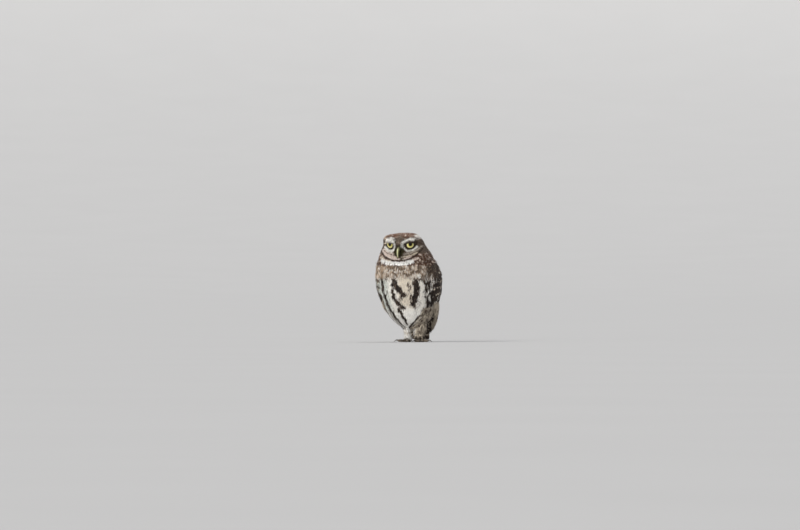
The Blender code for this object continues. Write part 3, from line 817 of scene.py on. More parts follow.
        # Fewer pale mottles on the bird's left side, as part of its painted shade.
        mottled = mottled * (luck < 0.9) * (1 - 0.8 * ramp(44, 62, around)) * ramp(0.94, 0.84, dark)
        chosen = mixed(chosen, mixed(BUFF, WHITE, 0.9 * self.chance()), 0.9 * mottled)
        collar, pale = under & (height > 116), under & (dark < 0.5)
        self.paint(under, chosen, ground, (0.0, 0.3, 0.72, 0.22 * (luck < 0.5) * (dark < 0.75)))
        self.paint(collar, None, mixed(BUFF, CREAM, self.chance()))
        streak = (0.0, 0.1 + 0.5 * dark, 0.7, 0.34 * (dark > 0.06) * (luck < 0.55))
        self.paint(pale, None, mixed(BROWN, GREY_BROWN, luck), streak)
        self.shape[collar, 1] = (0.18 + 0.2 * self.chance())[collar]
        self.shape[collar, 3] = (0.2 * self.chance() * (luck < 0.4))[collar]

    def add_fluff(self):
        """The clouded fluff of thighs and flanks, white on the right thigh. Returns its colours."""
        points, parts, around, height, luck = self.points, self.parts, self.around, self.height, self.luck
        past_edge = around - np.interp(height, *THIGH_EDGE)
        beyond = ramp(-4, 4, past_edge) * ramp(70, 60, height) > self.rng.uniform(0.3, 0.7, self.count)
        fluffy = np.isin(parts, THIGHS) | is_flank(points, parts) | (self.under & beyond)
        clouds = blotches(points * (1, 1, 0.6), 7.6, 2.9, 1.2)
        clouds = np.maximum(clouds, 0.5 * blotches(points, 4.4, 1.3, 0.8))
        # Painted shade: the fluff darkens on the bird's left flank beside the thigh, and at the outer foot of
        # the left thigh.
        deep = ramp(38, 46, around) * ramp(66, 60, around) * ramp(40, 46, height) * ramp(66, 58, height)
        deep = np.maximum(deep, 1.7 * ramp(22, 12, height) * ramp(13, 20, points[:, 0]))
        clear = (1 - clouds) * (1 - 0.5 * deep) * (0.75 + 0.25 * self.chance())
        fluff = mixed(mixed(BROWN, UMBER, luck), mixed(PALE_GREY, CREAM, 0.5 + 0.5 * luck), clear)
        inner = ramp(9, 4, points[:, 0]) * ramp(46, 38, height) * (parts == "thigh_left")
        fluff = mixed(fluff, WHITE, 0.85 * inner)
        hem = ramp(0, 2, past_edge) * ramp(8, 5, past_edge) * ramp(52, 46, height) * ramp(28, 32, height)
        fluff = mixed(fluff, WHITE, 0.8 * hem * self.under)
        self.paint(fluffy, fluff, mixed(UMBER, CREAM, self.chance() < 0.5), (0.0, 0.5, 0.8, 0.2))
        self.paint(parts == "thigh_right", mixed(CREAM, PURE_WHITE, 0.3 + 0.7 * luck))
        return fluff

    def add_legs(self, fluff):
        """The white leg, dark bristles on the toes, and the other leg in the fluff's shade."""
        parts, height, luck = self.parts, self.height, self.luck
        leg = np.isin(parts, ("tarsus", "foot", "toe"))
        self.paint(leg, mixed(CREAM, PURE_WHITE, 0.8 + 0.2 * self.chance()))
        self.shape[leg, 3] = 0.0
        bristles = (parts == "toe") | (parts == "foot") & (height < 4)
        self.paint(bristles, mixed(UMBER, PALE_GREY, luck))
        shade = 0.15 + 0.35 * luck + 0.45 * ramp(20, 9, height)
        self.paint((parts == "tarsus") & (self.points[:, 0] > 0), mixed(fluff, UMBER, shade))


def skin_colours(skin):
    """The skin's colours: each point takes the mean of the feathers over it, darkened as painted shade in the
    gaps between them.
    """
    marks = Marks(skin.points, skin.parts, np.random.default_rng(3))
    share = np.clip(3 * marks.shape[:, 1] * marks.shape[:, 3], 0, 0.6) * (skin.parts != "tail")
    # The factor 0.8 is painted shade where the skin shows between the feathers.
    colours = mixed(marks.base, marks.mark, share) * 0.8
    colours[np.isin(skin.parts, ("toe", "foot"))] = TOE_COLOUR
    colours[skin.rim] = DARK
    return np.concatenate((colours, np.ones((len(colours), 1))), axis=1)


def make_skin(skin, surface):
    flesh = [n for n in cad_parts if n.split("_")[0] in COAT_DEPTH]
    tone = {"tone": skin_colours(skin)}
    make_piece("skin", skin.points, skin.quads, surface, tone, flesh)


# Feathers


def crowded(place, cell, cells, spacing):
    """Whether a root kept before lies nearer to a place than the spacing."""
    for i, j, k in NEIGHBOURS:
        for other in cells.get((cell[0] + i, cell[1] + j, cell[2] + k), ()):
            if math.dist(place, other) < spacing:
                return True
    return False


def scatter(skin, chosen, spacing, seed):
    """Roots spread over the chosen points of the skin, none nearer to another than the spacing."""
    rng = np.random.default_rng(seed)
    corners = skin.triangles[(chosen & skin.rooting)[skin.triangles].all(axis=1)]
    a, b, c = (skin.points[corners[:, k]] for k in range(3))
    area = np.linalg.norm(np.cross(b - a, c - a), axis=1) / 2
    count = int(area.sum() / spacing**2 * TRIES)
    pick = rng.choice(len(corners), count, p=area / area.sum())
    u, v = rng.random((2, count, 1))
    u, v = np.where(u + v > 1, 1 - u, u), np.where(u + v > 1, 1 - v, v)
    places = a[pick] + (b[pick] - a[pick]) * u + (c[pick] - a[pick]) * v
    kept, cells = [], {}
    keys = np.floor(places / spacing).astype(int).tolist()
    for n, (place, cell) in enumerate(zip(places.tolist(), keys)):
        if not crowded(place, cell, cells, spacing):
            cells.setdefault(tuple(cell), []).append(place)
            kept.append(n)
    corner = corners[pick[kept]]
    return places[kept], unit(skin.normals[corner].sum(axis=1)), skin.parts[corner[:, 0]]


def lie(points, parts):
    """The way the feathers lie at some points, before it is laid flat on the skin."""
    way = np.tile((0.0, 0.0, -1.0), (len(points), 1))
    trunk = np.isin(parts, ("trunk", "neck"))
    rear = ramp(85, 120, np.abs(bearings(points)))
    belly = unit(np.array((-9, -14, -12)) - points)
    rump = unit(np.array((0, 62, -60)) - points)
    way[trunk] = unit(mixed(belly, rump, rear))[trunk]
    for side, sign in SIDES:
        wing = parts == "wing_" + side
        way[wing] = unit(np.array((sign * 12, 56, -18)) - points[wing])
    front = is_side(points, parts)
    way[front] = belly[front]
    foot = np.isin(parts, ("toe", "foot"))
    ankle = np.stack((np.sign(points[:, 0]) * LEG_LATERAL, np.full(len(points), ANKLE_BACK)), axis=1)
    way[foot, :2] = unit(points[:, :2] - ankle)[foot]
    way[foot, 2] = -0.15
    head = (parts == "head") | ((parts == "neck") & (points[:, 2] > 140))
    way[head] = lie_on_head(points)[head]
    return way


def lie_on_head(points):
    """Outward from the bill and the eyes, and falling at the chin and the back of the head."""
    lateral, forward, up = in_head(points)
    spread = unit(points - on_head(0.0, 24.0, -3.0))
    falling = np.maximum(ramp(-18, -30, up), ramp(4, -22, forward) * ramp(24, 8, up))
    way = unit(mixed(spread, -UP, falling))
    for sign in (-1, 1):
        centre, axis, _, _ = eye_frame(sign)
        from_eye = points - (centre + axis * EYE_RADIUS)
        near = ramp(19, 9, np.linalg.norm(from_eye, axis=1))
        way = unit(mixed(way, unit(from_eye), near * 0.85))
    bristly = ramp(8, 5, np.abs(lateral)) * ramp(-20, -15, up) * ramp(0, -5, up) * ramp(20, 23, forward)
    beside = unit(np.sign(lateral)[:, None] * HEAD_SIDE * 0.35 + HEAD_FORWARD * 0.5 - UP)
    return unit(mixed(way, beside, bristly * 0.8))


def flat_on(way, normal):
    return unit(way - normal * dot(way, normal)[:, None])


def trail(skin, roots, normals, parts, length, wander, cling):
    """Paths of feathers over the skin, from their roots along the lie."""
    way = flat_on(flat_on(lie(roots, parts), normals) + wander, normals)
    places, ups = [roots], [normals]
    straight = roots
    for _ in range(TRAIL_STEPS):
        step = way * (length / TRAIL_STEPS)[:, None]
        straight = straight + step
        at, normal, corner = skin.nearest(places[-1] + step)
        places.append(mixed(straight, at, cling))
        ups.append(normal)
        onward = flat_on(lie(at, skin.parts[corner]), normal)
        way = unit(way * 0.5 + onward * 0.5)
    return np.stack(places, axis=1), np.stack(ups, axis=1)


def vanes(paths, ups, crop, form, rng):
    """Points of the feathers' vanes, with each point's place across and along its feather."""
    count, knots = paths.shape[:2]
    along = np.linspace(0, 1, form.rows + 1)[None, :, None]
    across = np.linspace(-1, 1, form.columns + 1)[None, None, :]
    ragged = rng.uniform(-1, 1, (count, 1, form.columns + 1)) * form.ragged
    reach = along * (1 - form.round * across**2 * along) * (1 + ragged * along**2)
    at = np.clip(reach * (knots - 1), 0, None)
    knot = np.minimum(at.astype(int), knots - 2)
    share = (at - knot)[..., None]
    pick = np.arange(count)[:, None, None]

    def on_path(values):
        return values[pick, knot] * (1 - share) + values[pick, knot + 1] * share

    centre, up = on_path(paths), unit(on_path(ups))
    side = unit(on_path(unit(np.cross(ups, np.gradient(paths, axis=1)))))
    width, depth, lift, roll = (crop[key][:, None, None] for key in ("width", "depth", "lift", "roll"))
    width = width * vane_width(along, form.root, form.tip)
    rise = depth * (0.12 + 0.88 * reach**0.9) + lift
    rise = rise - form.camber * width * across**2 + roll * width * across
    points = centre + side * (width * across)[..., None] + up * rise[..., None]
    chance = np.broadcast_to(rng.random((count, 1, 1)), reach.shape)
    return points, np.stack((np.broadcast_to(across, reach.shape), reach, chance), axis=-1)


def vane_width(along, root, tip):
    """A vane's half width along its length, against its widest."""
    opening = root + (1 - root) * ramp(0, 0.5, along)
    return opening * (1 - (1 - tip) * ramp(0.55, 1, along))


def bake_places(roots, parts):
    """Each root's place on an unwrap of the skin: the body round its axis, limbs in charts beside it."""
    around = bearings(roots) / 360 + 0.5
    u, v = 0.02 + 0.60 * around, 0.02 + 0.95 * (roots[:, 2] - 20) / 182
    for name, (left, low) in CHARTS.items():
        here = parts == name
        u[here] = left + 0.14 * np.clip((roots[here, 1] + 45) / 105, 0, 1)
        v[here] = low + 0.44 * np.clip(roots[here, 2] / 155, 0, 1)
    tail = parts == "tail"
    u[tail] = CHARTS["tail"][0] + 0.05 * np.clip((roots[tail, 0] + 22) / 44, 0, 1)
    leg = ~np.isin(parts, ("head", "neck", "trunk", *CHARTS))
    turn = np.arctan2(roots[:, 1] - ANKLE_BACK, np.abs(roots[:, 0]) - LEG_LATERAL) / (2 * math.pi) + 0.5
    u[leg] = 0.84 + 0.12 * turn[leg]
    v[leg] = np.where(roots[:, 0] > 0, 0.02, 0.26)[leg] + 0.2 * np.clip(roots[leg, 2] / 45, 0, 1)
    return np.stack((u, v), axis=1)


def make_coat(name, paths, ups, parts, crop, form, surface, rng):
    """One piece of coat from its feathers' paths."""
    points, place = vanes(paths, ups, crop, form, rng)
    count, rows, columns = points.shape[:3]
    starts = np.arange(count) * rows * columns
    faces = (grid_faces(rows, columns)[None] + starts[:, None, None]).reshape(-1, 4)

    def spread(values):
        return np.repeat(values, rows * columns, axis=0)

    opaque = np.ones((count, 1))
    attributes = {
        "place": place.reshape(-1, 3),
        "ground": spread(np.concatenate((crop["base"], opaque), axis=1)),
        "mark": spread(np.concatenate((crop["mark"], opaque), axis=1)),
        "shape": spread(crop["shape"]),
    }
    points = points.reshape(-1, 3)
    points[:, 2] = np.maximum(points[:, 2], 0.1)
    piece = make_piece(name, points, faces, surface, attributes)
    flat = place.reshape(-1, 3)[:, :2] * (0.5, 1) - (0, 0.5)
    uv = spread(bake_places(paths[:, 0], parts)) + flat * PATCH
    layer = piece.data.uv_layers.new(name="OFBake")
    layer.data.foreach_set("uv", uv[faces.ravel()].astype(np.float32).ravel())


def plant(kind, skin, chosen, surface, seed, side=""):
    """A coat of feathers of one kind over the chosen points of the skin."""
    coat = COATS[kind]
    rng = np.random.default_rng(seed)
    roots, normals, parts = scatter(skin, chosen, coat.spacing, seed)
    count = len(roots)
    scale, rise = coat.scale(roots), coat.rise(roots)
    length = coat.length * scale * rng.uniform(0.85, 1.15, count)
    wander = rng.normal(0, coat.wander, (count, 3))
    paths, ups = trail(skin, roots, normals, parts, length, wander, np.full(count, coat.cling))
    marks = Marks(paths[:, -2] * 0.8 + paths[:, -3] * 0.2, parts, rng)
    crop = {
        "width": coat.width * scale * rng.uniform(0.85, 1.15, count),
        "depth": coat.depth * scale * rise * rng.uniform(0.85, 1.1, count),
        "lift": coat.lift + rng.uniform(0, 0.35, count),
        "roll": rng.normal(0, 0.08, count),
        "base": marks.base * rng.uniform(0.86, 1.12, (count, 1)),
        "mark": marks.mark,
        "shape": marks.shape,
    }
    make_coat(f"coat_{kind}{side}", paths, ups, parts, crop, coat.form, surface, rng)


def even(roots):
    return np.ones(len(roots))


def by_height(base, more, start, end):
    """A share that changes with height: a base, and more from start to end."""
    return lambda roots: base + more * ramp(start, end, roots[:, 2])


back_scale, back_rise = by_height(1.0, -0.4, 128, 146), by_height(1.0, 0.5, 128, 146)
covert_scale, covert_rise = by_height(0.75, 0.25, 60, 90), by_height(1.0, 0.7, 118, 140)
thigh_scale, thigh_rise = by_height(1.0, 0.4, 30, 15), by_height(1.0, 0.7, 30, 15)
white_scale, neck_scale = by_height(1.0, 0.5, 50, 40), by_height(0.55, 0.35, 148, 136)


def breast_scale(roots):
    return 0.5 + 0.5 * ramp(22, 42, roots[:, 2]) - 0.25 * ramp(124, 142, roots[:, 2])


def breast_rise(roots):
    return 1 - 0.45 * ramp(56, 68, np.abs(bearings(roots))) * (roots[:, 2] > 68)


def neck_rise(roots):
    return 1 + 0.9 * ramp(50, 80, np.abs(bearings(roots)))


def leg_scale(roots):
    return np.clip((roots[:, 2] - 1.5) / 8, 0.25, 1)


def leg_rise(roots):
    """The white feathers of the right leg stand out on both its sides, and most high on its outer side."""
    outer = ramp(-8, -11, roots[:, 0]) * ramp(12, 30, roots[:, 2])
    return 1 + 0.7 * ramp(1, -1, roots[:, 0]) + 1.2 * outer


def face_scale(roots):
    """The face's feathers are shorter beside the eyes."""
    return 0.5 + 0.5 * ramp(0, 7 - 4.0 * (roots[:, 2] > 180), lid_reach(roots))


def crown_rise(roots):
    """The feathers stand up most at the crown's right corner."""
    lateral, forward, up = in_head(roots)
    return 1 + 0.8 * ramp(-14, -30, lateral) * ramp(2, 12, up) * ramp(-22, -2, forward)


# A vane's cells along and across, the rounding of its tip, its raggedness, its width at root and tip
# against its middle, and its camber.
Vane = namedtuple("Vane", "rows columns round ragged root tip camber")
BODY_VANE = Vane(4, 8, 0.26, 0.16, 0.4, 0.6, 0.2)
COVERT_VANE = Vane(5, 6, 0.3, 0.05, 0.4, 0.6, 0.22)
TUFT_VANE = Vane(4, 2, 0.15, 0.14, 0.5, 0.25, 0.3)
CROWN_VANE = Vane(4, 4, 0.25, 0.12, 0.4, 0.5, 0.2)
FACE_VANE = Vane(3, 2, 0.2, 0.12, 0.5, 0.3, 0.15)
FLUFF_VANE = Vane(5, 2, 0.1, 0.16, 0.4, 0.12, 0.1)
HAIR_VANE = Vane(4, 1, 0.0, 0.0, 0.9, 0.1, 0.0)
FLIGHT_VANE = Vane(18, 8, 0.1, 0.01, 0.5, 0.5, 0.07)

# A coat's spacing and vane, the length, half width and depth of its feathers, how unevenly they lie, how
# closely their paths follow the skin, their lift, and how their size and depth change from place to place.
COAT_FIELDS = "spacing form length width depth wander cling lift scale rise slot"
Coat = namedtuple("Coat", COAT_FIELDS, defaults=(1.0, 0.0, even, even, BODY_SLOT))
COATS = {
    "breast": Coat(2.1, BODY_VANE, 12, 2.6, 4.4, 0.10, scale=breast_scale, rise=breast_rise),
    "tufts": Coat(1.05, TUFT_VANE, 8.5, 0.85, 4.6, 0.16, 1.0, 0.4, breast_scale, breast_rise),
    "back": Coat(2.3, COVERT_VANE, 14, 4.4, 4.4, 0.10, scale=back_scale, rise=back_rise),
    "neck": Coat(1.35, BODY_VANE, 8.5, 1.8, 4.2, 0.16, scale=neck_scale, rise=neck_rise),
    "flank": Coat(0.85, FLUFF_VANE, 13, 0.75, 4.2, 0.16, 0.7),
    "coverts": Coat(2.7, COVERT_VANE, 12, 4.0, 2.0, 0.06, scale=covert_scale, rise=covert_rise),
    "thigh_left": Coat(0.85, FLUFF_VANE, 10, 0.5, 3.2, 0.3, 0.45, 0.0, thigh_scale, thigh_rise, THIGH_SLOT),
    "thigh_right": Coat(0.85, FLUFF_VANE, 8, 0.5, 2.56, 0.3, 0.45, 0.0, white_scale, even, THIGH_SLOT),
    "legs": Coat(0.5, FLUFF_VANE, 8, 0.42, 2.0, 0.12, 0.8, 0.0, leg_scale, leg_rise, LEG_SLOT),
    "toes": Coat(0.75, HAIR_VANE, 3.6, 0.16, 0.8, 0.25, 0.7, slot=LEG_SLOT),
    "face": Coat(0.72, FACE_VANE, 3.8, 0.58, 1.8, 0.16, scale=face_scale),
    "crown": Coat(1.2, CROWN_VANE, 6, 1.6, 2.4, 0.14, rise=crown_rise),
    "bristles": Coat(0.45, HAIR_VANE, 6.5, 0.2, 3.2, 0.25, 0.3),
}


def body_coats(skin, surface):
    """The coats of the trunk, neck, wings and legs."""
    parts, points, normals = skin.parts, skin.points, skin.normals
    around, height = bearings(points), points[:, 2]
    trunk, front = parts == "trunk", is_side(points, parts)
    under = (is_under(points) > 0.5) & trunk
    for seed, side, here in ((11, "_left", around > 0), (12, "_right", around <= 0)):
        plant("breast", skin, here & (under | front), surface, seed, side)
        plant("tufts", skin, here & (under | front), surface, seed + 40, side)
    rump = (parts == "tail") & (height > RUMP_LOW)
    plant("back", skin, (trunk & ~under) | rump, surface, 13)
    plant("neck", skin, parts == "neck", surface, 14)
    for seed, side, sign in ((15, "_left", 1), (16, "_right", -1)):
        outer = (parts == "wing" + side) & (normals[:, 0] * sign > 0.05)
        flank = outer & is_flank(points, parts)
        plant("flank", skin, flank, surface, seed + 30, side)
        covert = outer & ~flank & ~front & (normals[:, 2] < 0.7)
        covert = covert & ((height > COVERTS_LOW) | (np.abs(around) > COVERTS_REAR))
        plant("coverts", skin, covert, surface, seed, side)
        plant("thigh" + side, skin, parts == "thigh" + side, surface, seed + 10)
    plant("legs", skin, parts == "tarsus", surface, 17)
    plant("toes", skin, (parts == "toe") & (normals[:, 2] > -0.1), surface, 18)


def head_coats(skin, surface):
    """The coats of the face, crown and nape, and the bristles beside the bill."""
    lateral, forward, up = in_head(skin.points)
    wide, head = np.abs(lateral), skin.parts == "head"
    bill = (wide < 3) & (up < -6) & (up > -19) & (forward > 20)
    face = head & (forward > 4) & (up < 14 - 0.35 * wide * (wide > 26))
    plant("face", skin, face & ~bill, surface, 21)
    plant("crown", skin, head & ~face, surface, 22)
    beside = head & (wide < 9) & (up > -16) & (up < -2) & (forward > 22) & ~bill
    plant("bristles", skin, beside, surface, 23)


def wing_place(sign, height, share):
    """A place near the wing's surface, by height and share of the way from front to rear edge."""
    edges = WING_EDGES[::-1]
    front, rear = np.interp(height, edges[:, 0], edges[:, 1]), np.interp(height, edges[:, 0], edges[:, 2])
    angle = np.radians(front + (rear - front) * share)
    middle, half, ahead, behind = body_at(height)
    low = ramp(62, 8, height)
    half, behind = half * (1 - low) + 24 * low, behind * (1 - low) + 57 * low
    ahead = ahead * (1 - low) + 6 * low
    x = middle + sign * (half + 3) * np.sin(angle)
    y = (ahead + behind) / 2 - (behind - ahead + 6) / 2 * np.cos(angle)
    return np.stack((x, y, height), axis=-1)


def long_feathers(name, skin, starts, ends, half, lift, mark, surface, seed, colours):
    """Flight feathers on straight courses over the skin, with their half width, lifts and mark."""
    rng = np.random.default_rng(seed)
    steps = np.linspace(0, 1, 9)[None, :, None]
    courses = starts[:, None] * (1 - steps) + ends[:, None] * steps
    at, up, corner = skin.nearest(courses.reshape(-1, 3))
    at, up = at.reshape(courses.shape), up.reshape(courses.shape)
    for _ in range(3):
        at[:, 1:-1] = (at[:, :-2] + 2 * at[:, 1:-1] + at[:, 2:]) / 4
        up[:, 1:-1] = unit(up[:, :-2] + 2 * up[:, 1:-1] + up[:, 2:])
    count = len(starts)
    crop = {
        "width": np.full(count, half),
        "depth": np.full(count, 0.6),
        "lift": lift,
        "roll": np.zeros(count),
        "base": np.tile(colours[0], (count, 1)) * rng.uniform(0.9, 1.1, (count, 1)),
        "mark": np.tile(colours[1], (count, 1)),
        "shape": np.tile(mark, (count, 1)),
    }
    parts = skin.parts[corner.reshape(courses.shape[:2])[:, 0]]
    make_coat(name, at, up, parts, crop, FLIGHT_VANE, surface, rng)


# Rows of the wing's long feathers: name, count, heights and shares of the way across the wing where they
# start and where they end, half width, lifts and mark.
WING_ROWS = (
    ("primaries", 8, (84, 92), (0.05, 0.45), (15, 40), (0.45, 0.62), 5.4, (0.9, 1.5), (0.6, 0.4, 7, 0.3)),
    ("secondaries", 9, (96, 104), (0.10, 0.92), (44, 60), (0.30, 0.98), 6.2, (1.5, 2.3), (0.6, 0.4, 5, 0.3)),
    ("coverts", 9, (114, 120), (0.02, 0.95), (82, 88), (0.08, 0.98), 6.2, (2.1, 2.8), (0.6, 0.25, 3, 0.3)),
)


def wing_feathers(skin, surface):
    """Primaries, secondaries and great coverts of both folded wings."""
    for side, sign in SIDES:
        for kind, count, high, from_share, low, to_share, half, lift, mark in WING_ROWS:
            starts = wing_place(sign, np.linspace(*high, count), np.linspace(*from_share, count))
            ends = wing_place(sign, np.linspace(*low, count), np.linspace(*to_share, count))
            lifts, name = np.linspace(*lift, count), f"{kind}_{side}"
            long_feathers(name, skin, starts, ends, half, lifts, mark, surface, 31, (BROWN, CREAM))


def tail_feathers(skin, surface):
    """Twelve tail feathers, in one layer seen from behind and one seen from below."""
    count = 12
    place = np.arange(count) - (count - 1) / 2
    order = np.abs(place)
    for name, back, colours in (("above", 12, (BROWN, CREAM)), ("below", -12, (GREY_BROWN, CREAM))):
        starts = np.stack((place * 1.3, np.full(count, 36.0 + back), np.full(count, 62.0)), axis=1)
        ends = np.stack((place * 2.9, np.full(count, 57.0 + back), 3.6 + 0.25 * order), axis=1)
        lifts, mark = 0.9 - 0.12 * order, (0.0, 1.2, 6, 0.22)
        long_feathers("tail_" + name, skin, starts, ends, 4.6, lifts, mark, surface, 41, colours)


# Materials


class Term:
    """A number or colour from a node, so that a material's formulas read as plain arithmetic."""

    def __init__(self, nodes, socket):
        self.nodes, self.socket = nodes, socket

    def __abs__(self):
        return self.nodes.math("ABSOLUTE", self)

    def __add__(self, other):
        return self.nodes.math("ADD", self, other)

    def __sub__(self, other):
        return self.nodes.math("SUBTRACT", self, other)

    def __rsub__(self, other):
        return self.nodes.math("SUBTRACT", other, self)

    def __mul__(self, other):
        return self.nodes.math("MULTIPLY", self, other)

    def __truediv__(self, other):
        return self.nodes.math("DIVIDE", self, other)


class Nodes:
    """A material's node tree, built in short steps."""

    def __init__(self, name):
        self.material = bpy.data.materials.new(name)
        self.material.use_nodes = True
        self.tree = self.material.node_tree
        self.shader = self.tree.nodes["Principled BSDF"]

    def add(self, kind, inputs, output=0, **settings):
        """A node with some settings, and inputs by name or number. Returns one output."""
        made = self.tree.nodes.new("ShaderNode" + kind)
        for key, value in settings.items():
            setattr(made, key, value)
        for key, value in inputs.items():
            self.put(made.inputs[key], value)
        return Term(self, made.outputs[output])

    def put(self, socket, value):
        if isinstance(value, Term):
            self.tree.links.new(value.socket, socket)
        else:
            socket.default_value = value

    def math(self, operation, a, b=0.0):
        return self.add("Math", {0: a, 1: b}, operation=operation)

    def step(self, value, start, end):
        """A smooth step from 0 at start to 1 at end."""
        low, high = min(start, end), max(start, end)
        inputs = {"Value": value, "From Min": low, "From Max": high}
        made = self.add("MapRange", inputs, interpolation_type="SMOOTHSTEP")
        return made if start < end else 1.0 - made

    def mix(self, share, a, b, blend="MIX"):
        return self.add("Mix", {0: share, 6: a, 7: b}, 2, data_type="RGBA", blend_type=blend)

    def attribute(self, name, output="Color"):
        return self.add("Attribute", {}, output, attribute_name=name)

    def split(self, vector):
        node = self.add("SeparateXYZ", {0: vector}).socket.node
        return [Term(self, socket) for socket in node.outputs]

    def join(self, x, y, z):
        return self.add("CombineXYZ", {0: x, 1: y, 2: z})

    def noise(self, vector, scale, detail=2.0):
        return self.add("TexNoise", {"Vector": vector, "Scale": scale, "Detail": detail})

    def grain(self, scale, detail=2.0):
        """Noise over the piece's own places."""
        return self.noise(self.add("TexCoord", {}, "Object"), scale, detail)

    def shaded(self, colour, light):
        return self.mix(1.0, colour, self.join(light, light, light), "MULTIPLY")

    def bump(self, height, strength, distance):
        inputs = {"Strength": strength, "Distance": distance, "Height": height}
        self.put(self.shader.inputs["Normal"], self.add("Bump", inputs))

    def finish(self, colour, roughness, **constants):
        self.put(self.shader.inputs["Base Color"], colour)
        self.put(self.shader.inputs["Roughness"], roughness)
        for key, value in constants.items():
            self.shader.inputs[key.replace("_", " ")].default_value = value
        return self.material


def rgba(colour):
    return (*colour, 1.0)


def feather_material(name, barred):
    """Vanes with fine barbs, a shaft, and a pale or dark mark: a spot, a streak or bars. Each darkens towards
    its root as painted shade.
    """
    n = Nodes(name)
    across, along, chance = n.split(n.attribute("place", "Vector"))
    offset, half, middle = n.split(n.attribute("shape", "Vector"))
    length = n.attribute("shape", "Alpha")
    wide, seed = abs(across), chance * 91.0
    blur = (n.noise(n.join(across * 1.7, along * 5.0, seed), 1.6) - 0.5) * 0.7
    off = (wide - offset) / half
    if barred:
        phase = n.math("FRACT", (along - wide * 0.03) * middle + chance * 0.45)
        bar = n.step(abs(phase - 0.6) + blur * 0.15, 0.16, 0.09)
        mask = bar * n.step(abs(off), 1.4, 1.0)
    else:
        down = (along - middle) / (length + 0.001)
        mask = n.step(off * off + down * down + blur, 1.25, 0.75) * n.step(length, 0.0, 0.03)
    colour = n.mix(mask, n.attribute("ground"), n.attribute("mark"))
    barbs = n.noise(n.join(along * 46.0 - wide * 9.0, across * 0.6, seed), 1.3, 1.0)
    # Painted shade: each vane darkens towards its root, where the feathers above it cover it.
    root = n.step(along, 0.05, 0.6) * 0.24 + 0.76
    shaft = 1.0 - n.step(wide, 0.09, 0.02) * 0.2
    colour = n.shaded(colour, (barbs * 0.36 + 0.82) * root * shaft)
    n.bump(barbs, 0.25, 0.0003)
    return n.finish(colour, 0.74, Sheen_Weight=0.06, Sheen_Roughness=0.5, Specular_IOR_Level=0.2)


def skin_material():
    n = Nodes("skin")
    grain = n.grain(900.0, 4.0)
    n.bump(grain, 0.4, 0.0004)
    return n.finish(n.shaded(n.attribute("tone"), grain * 0.5 + 0.7), 0.75, Specular_IOR_Level=0.3)


def eye_material():
    """Black pupil, yellow iris with fine rays, and a dark edge."""
    n = Nodes("eye")
    out, x, y = n.split(n.attribute("gaze", "Vector"))
    rays = n.noise(n.join(x * 9.0, y * 9.0, out), 2.4, 3.0)
    cloud = n.noise(n.join(x, y, out * 3.0), 2.0)
    colour = n.mix(n.step(rays * 0.9 + cloud * 0.5, 0.55, 1.05), rgba(IRIS_YELLOW), rgba(IRIS_DEEP))
    for start, end, ring in ((0.62, 0.46, IRIS_INNER), (0.90, 1.0, IRIS_EDGE), (0.42, 0.39, PUPIL)):
        colour = n.mix(n.step(out, start, end), colour, rgba(ring))
    return n.finish(colour, 0.35, Coat_Weight=0.6, Coat_Roughness=0.02, Coat_IOR=1.4, Specular_IOR_Level=0.1)


def bill_material():
    """Pale along the ridge and at the tip, olive darkened with painted shade of the bristles on the sides,
    with fine growth lines.
    """
    n = Nodes("bill")
    ridge, along, chance = n.split(n.attribute("growth", "Vector"))
    lines = n.noise(n.join(along * 26.0, ridge, chance), 1.5, 3.0)
    pale = (n.step(ridge, 0.62, 0.92) + n.step(along, 0.75, 1.0) * 0.5) * n.step(along, 0.28, 0.46)
    colour = n.mix(n.step(pale, 0.0, 1.0), rgba(SHADED_BILL_SIDE), rgba(BILL_PALE))
    n.bump(lines, 0.15, 0.0003)
    return n.finish(n.shaded(colour, lines * 0.4 + 0.8), 0.38, Coat_Weight=0.3, Coat_Roughness=0.25)


def claw_material():
    """Near black, paler at the root."""
    n = Nodes("claw")
    ridge, along, _ = n.split(n.attribute("growth", "Vector"))
    lines = n.noise(n.join(ridge * 6.0, along * 2.0, 0.0), 3.0, 3.0)
    colour = n.mix(n.step(along, 0.45, 0.0), rgba(CLAW_COLOUR), rgba(CLAW_ROOT))
    n.bump(lines, 0.2, 0.0002)
    return n.finish(n.shaded(colour, lines * 0.5 + 0.75), 0.32, Coat_Weight=0.3, Coat_Roughness=0.2)


def floor_material():
    n = Nodes("floor")
    shade = n.grain(3.0) * 0.02 + 0.56
    return n.finish(n.join(shade, shade, shade), 0.9, Specular_IOR_Level=0.0)


# Eyes, bill and claws


def make_eyes(surface):
    around, rings = 96, 60
    turn = np.tile(turns(around), rings + 1)
    angle = np.repeat(np.linspace(0.05, 179.95, rings + 1), around)
    rise = CORNEA_RISE * np.exp(-((angle / CORNEA_ANGLE) ** 4))
    gaze = {"gaze": np.stack((angle / IRIS_ANGLE, np.cos(turn), np.sin(turn)), axis=1)}
    for side, sign in SIDES:
        points = eye_point(sign, turn, angle, rise, GAZE_LIFT, sign * GAZE_LEFT)
        faces = outward(points, grid_faces(rings + 1, around, closed=True))
        make_piece("eyeball_" + side, points, faces, surface, gaze, ["eye_" + side])


def make_horn(node, centres, radii, side, around, flatten, ridge, surface):
    """A piece of bill or claw. Its points know how near the outer ridge and how far along they lie."""
    points, faces = tube(centres, radii, side, around, flatten, ridge)
    rings = len(centres)
    near = np.tile(np.clip(np.sin(turns(around)), 0, 1), rings)
    along = np.repeat(np.linspace(0, 1, rings), around)
    growth = {"growth": np.stack((near, along, np.zeros(rings * around)), axis=1)}
    make_piece(node + "_horn", points, faces, surface, growth, [node])


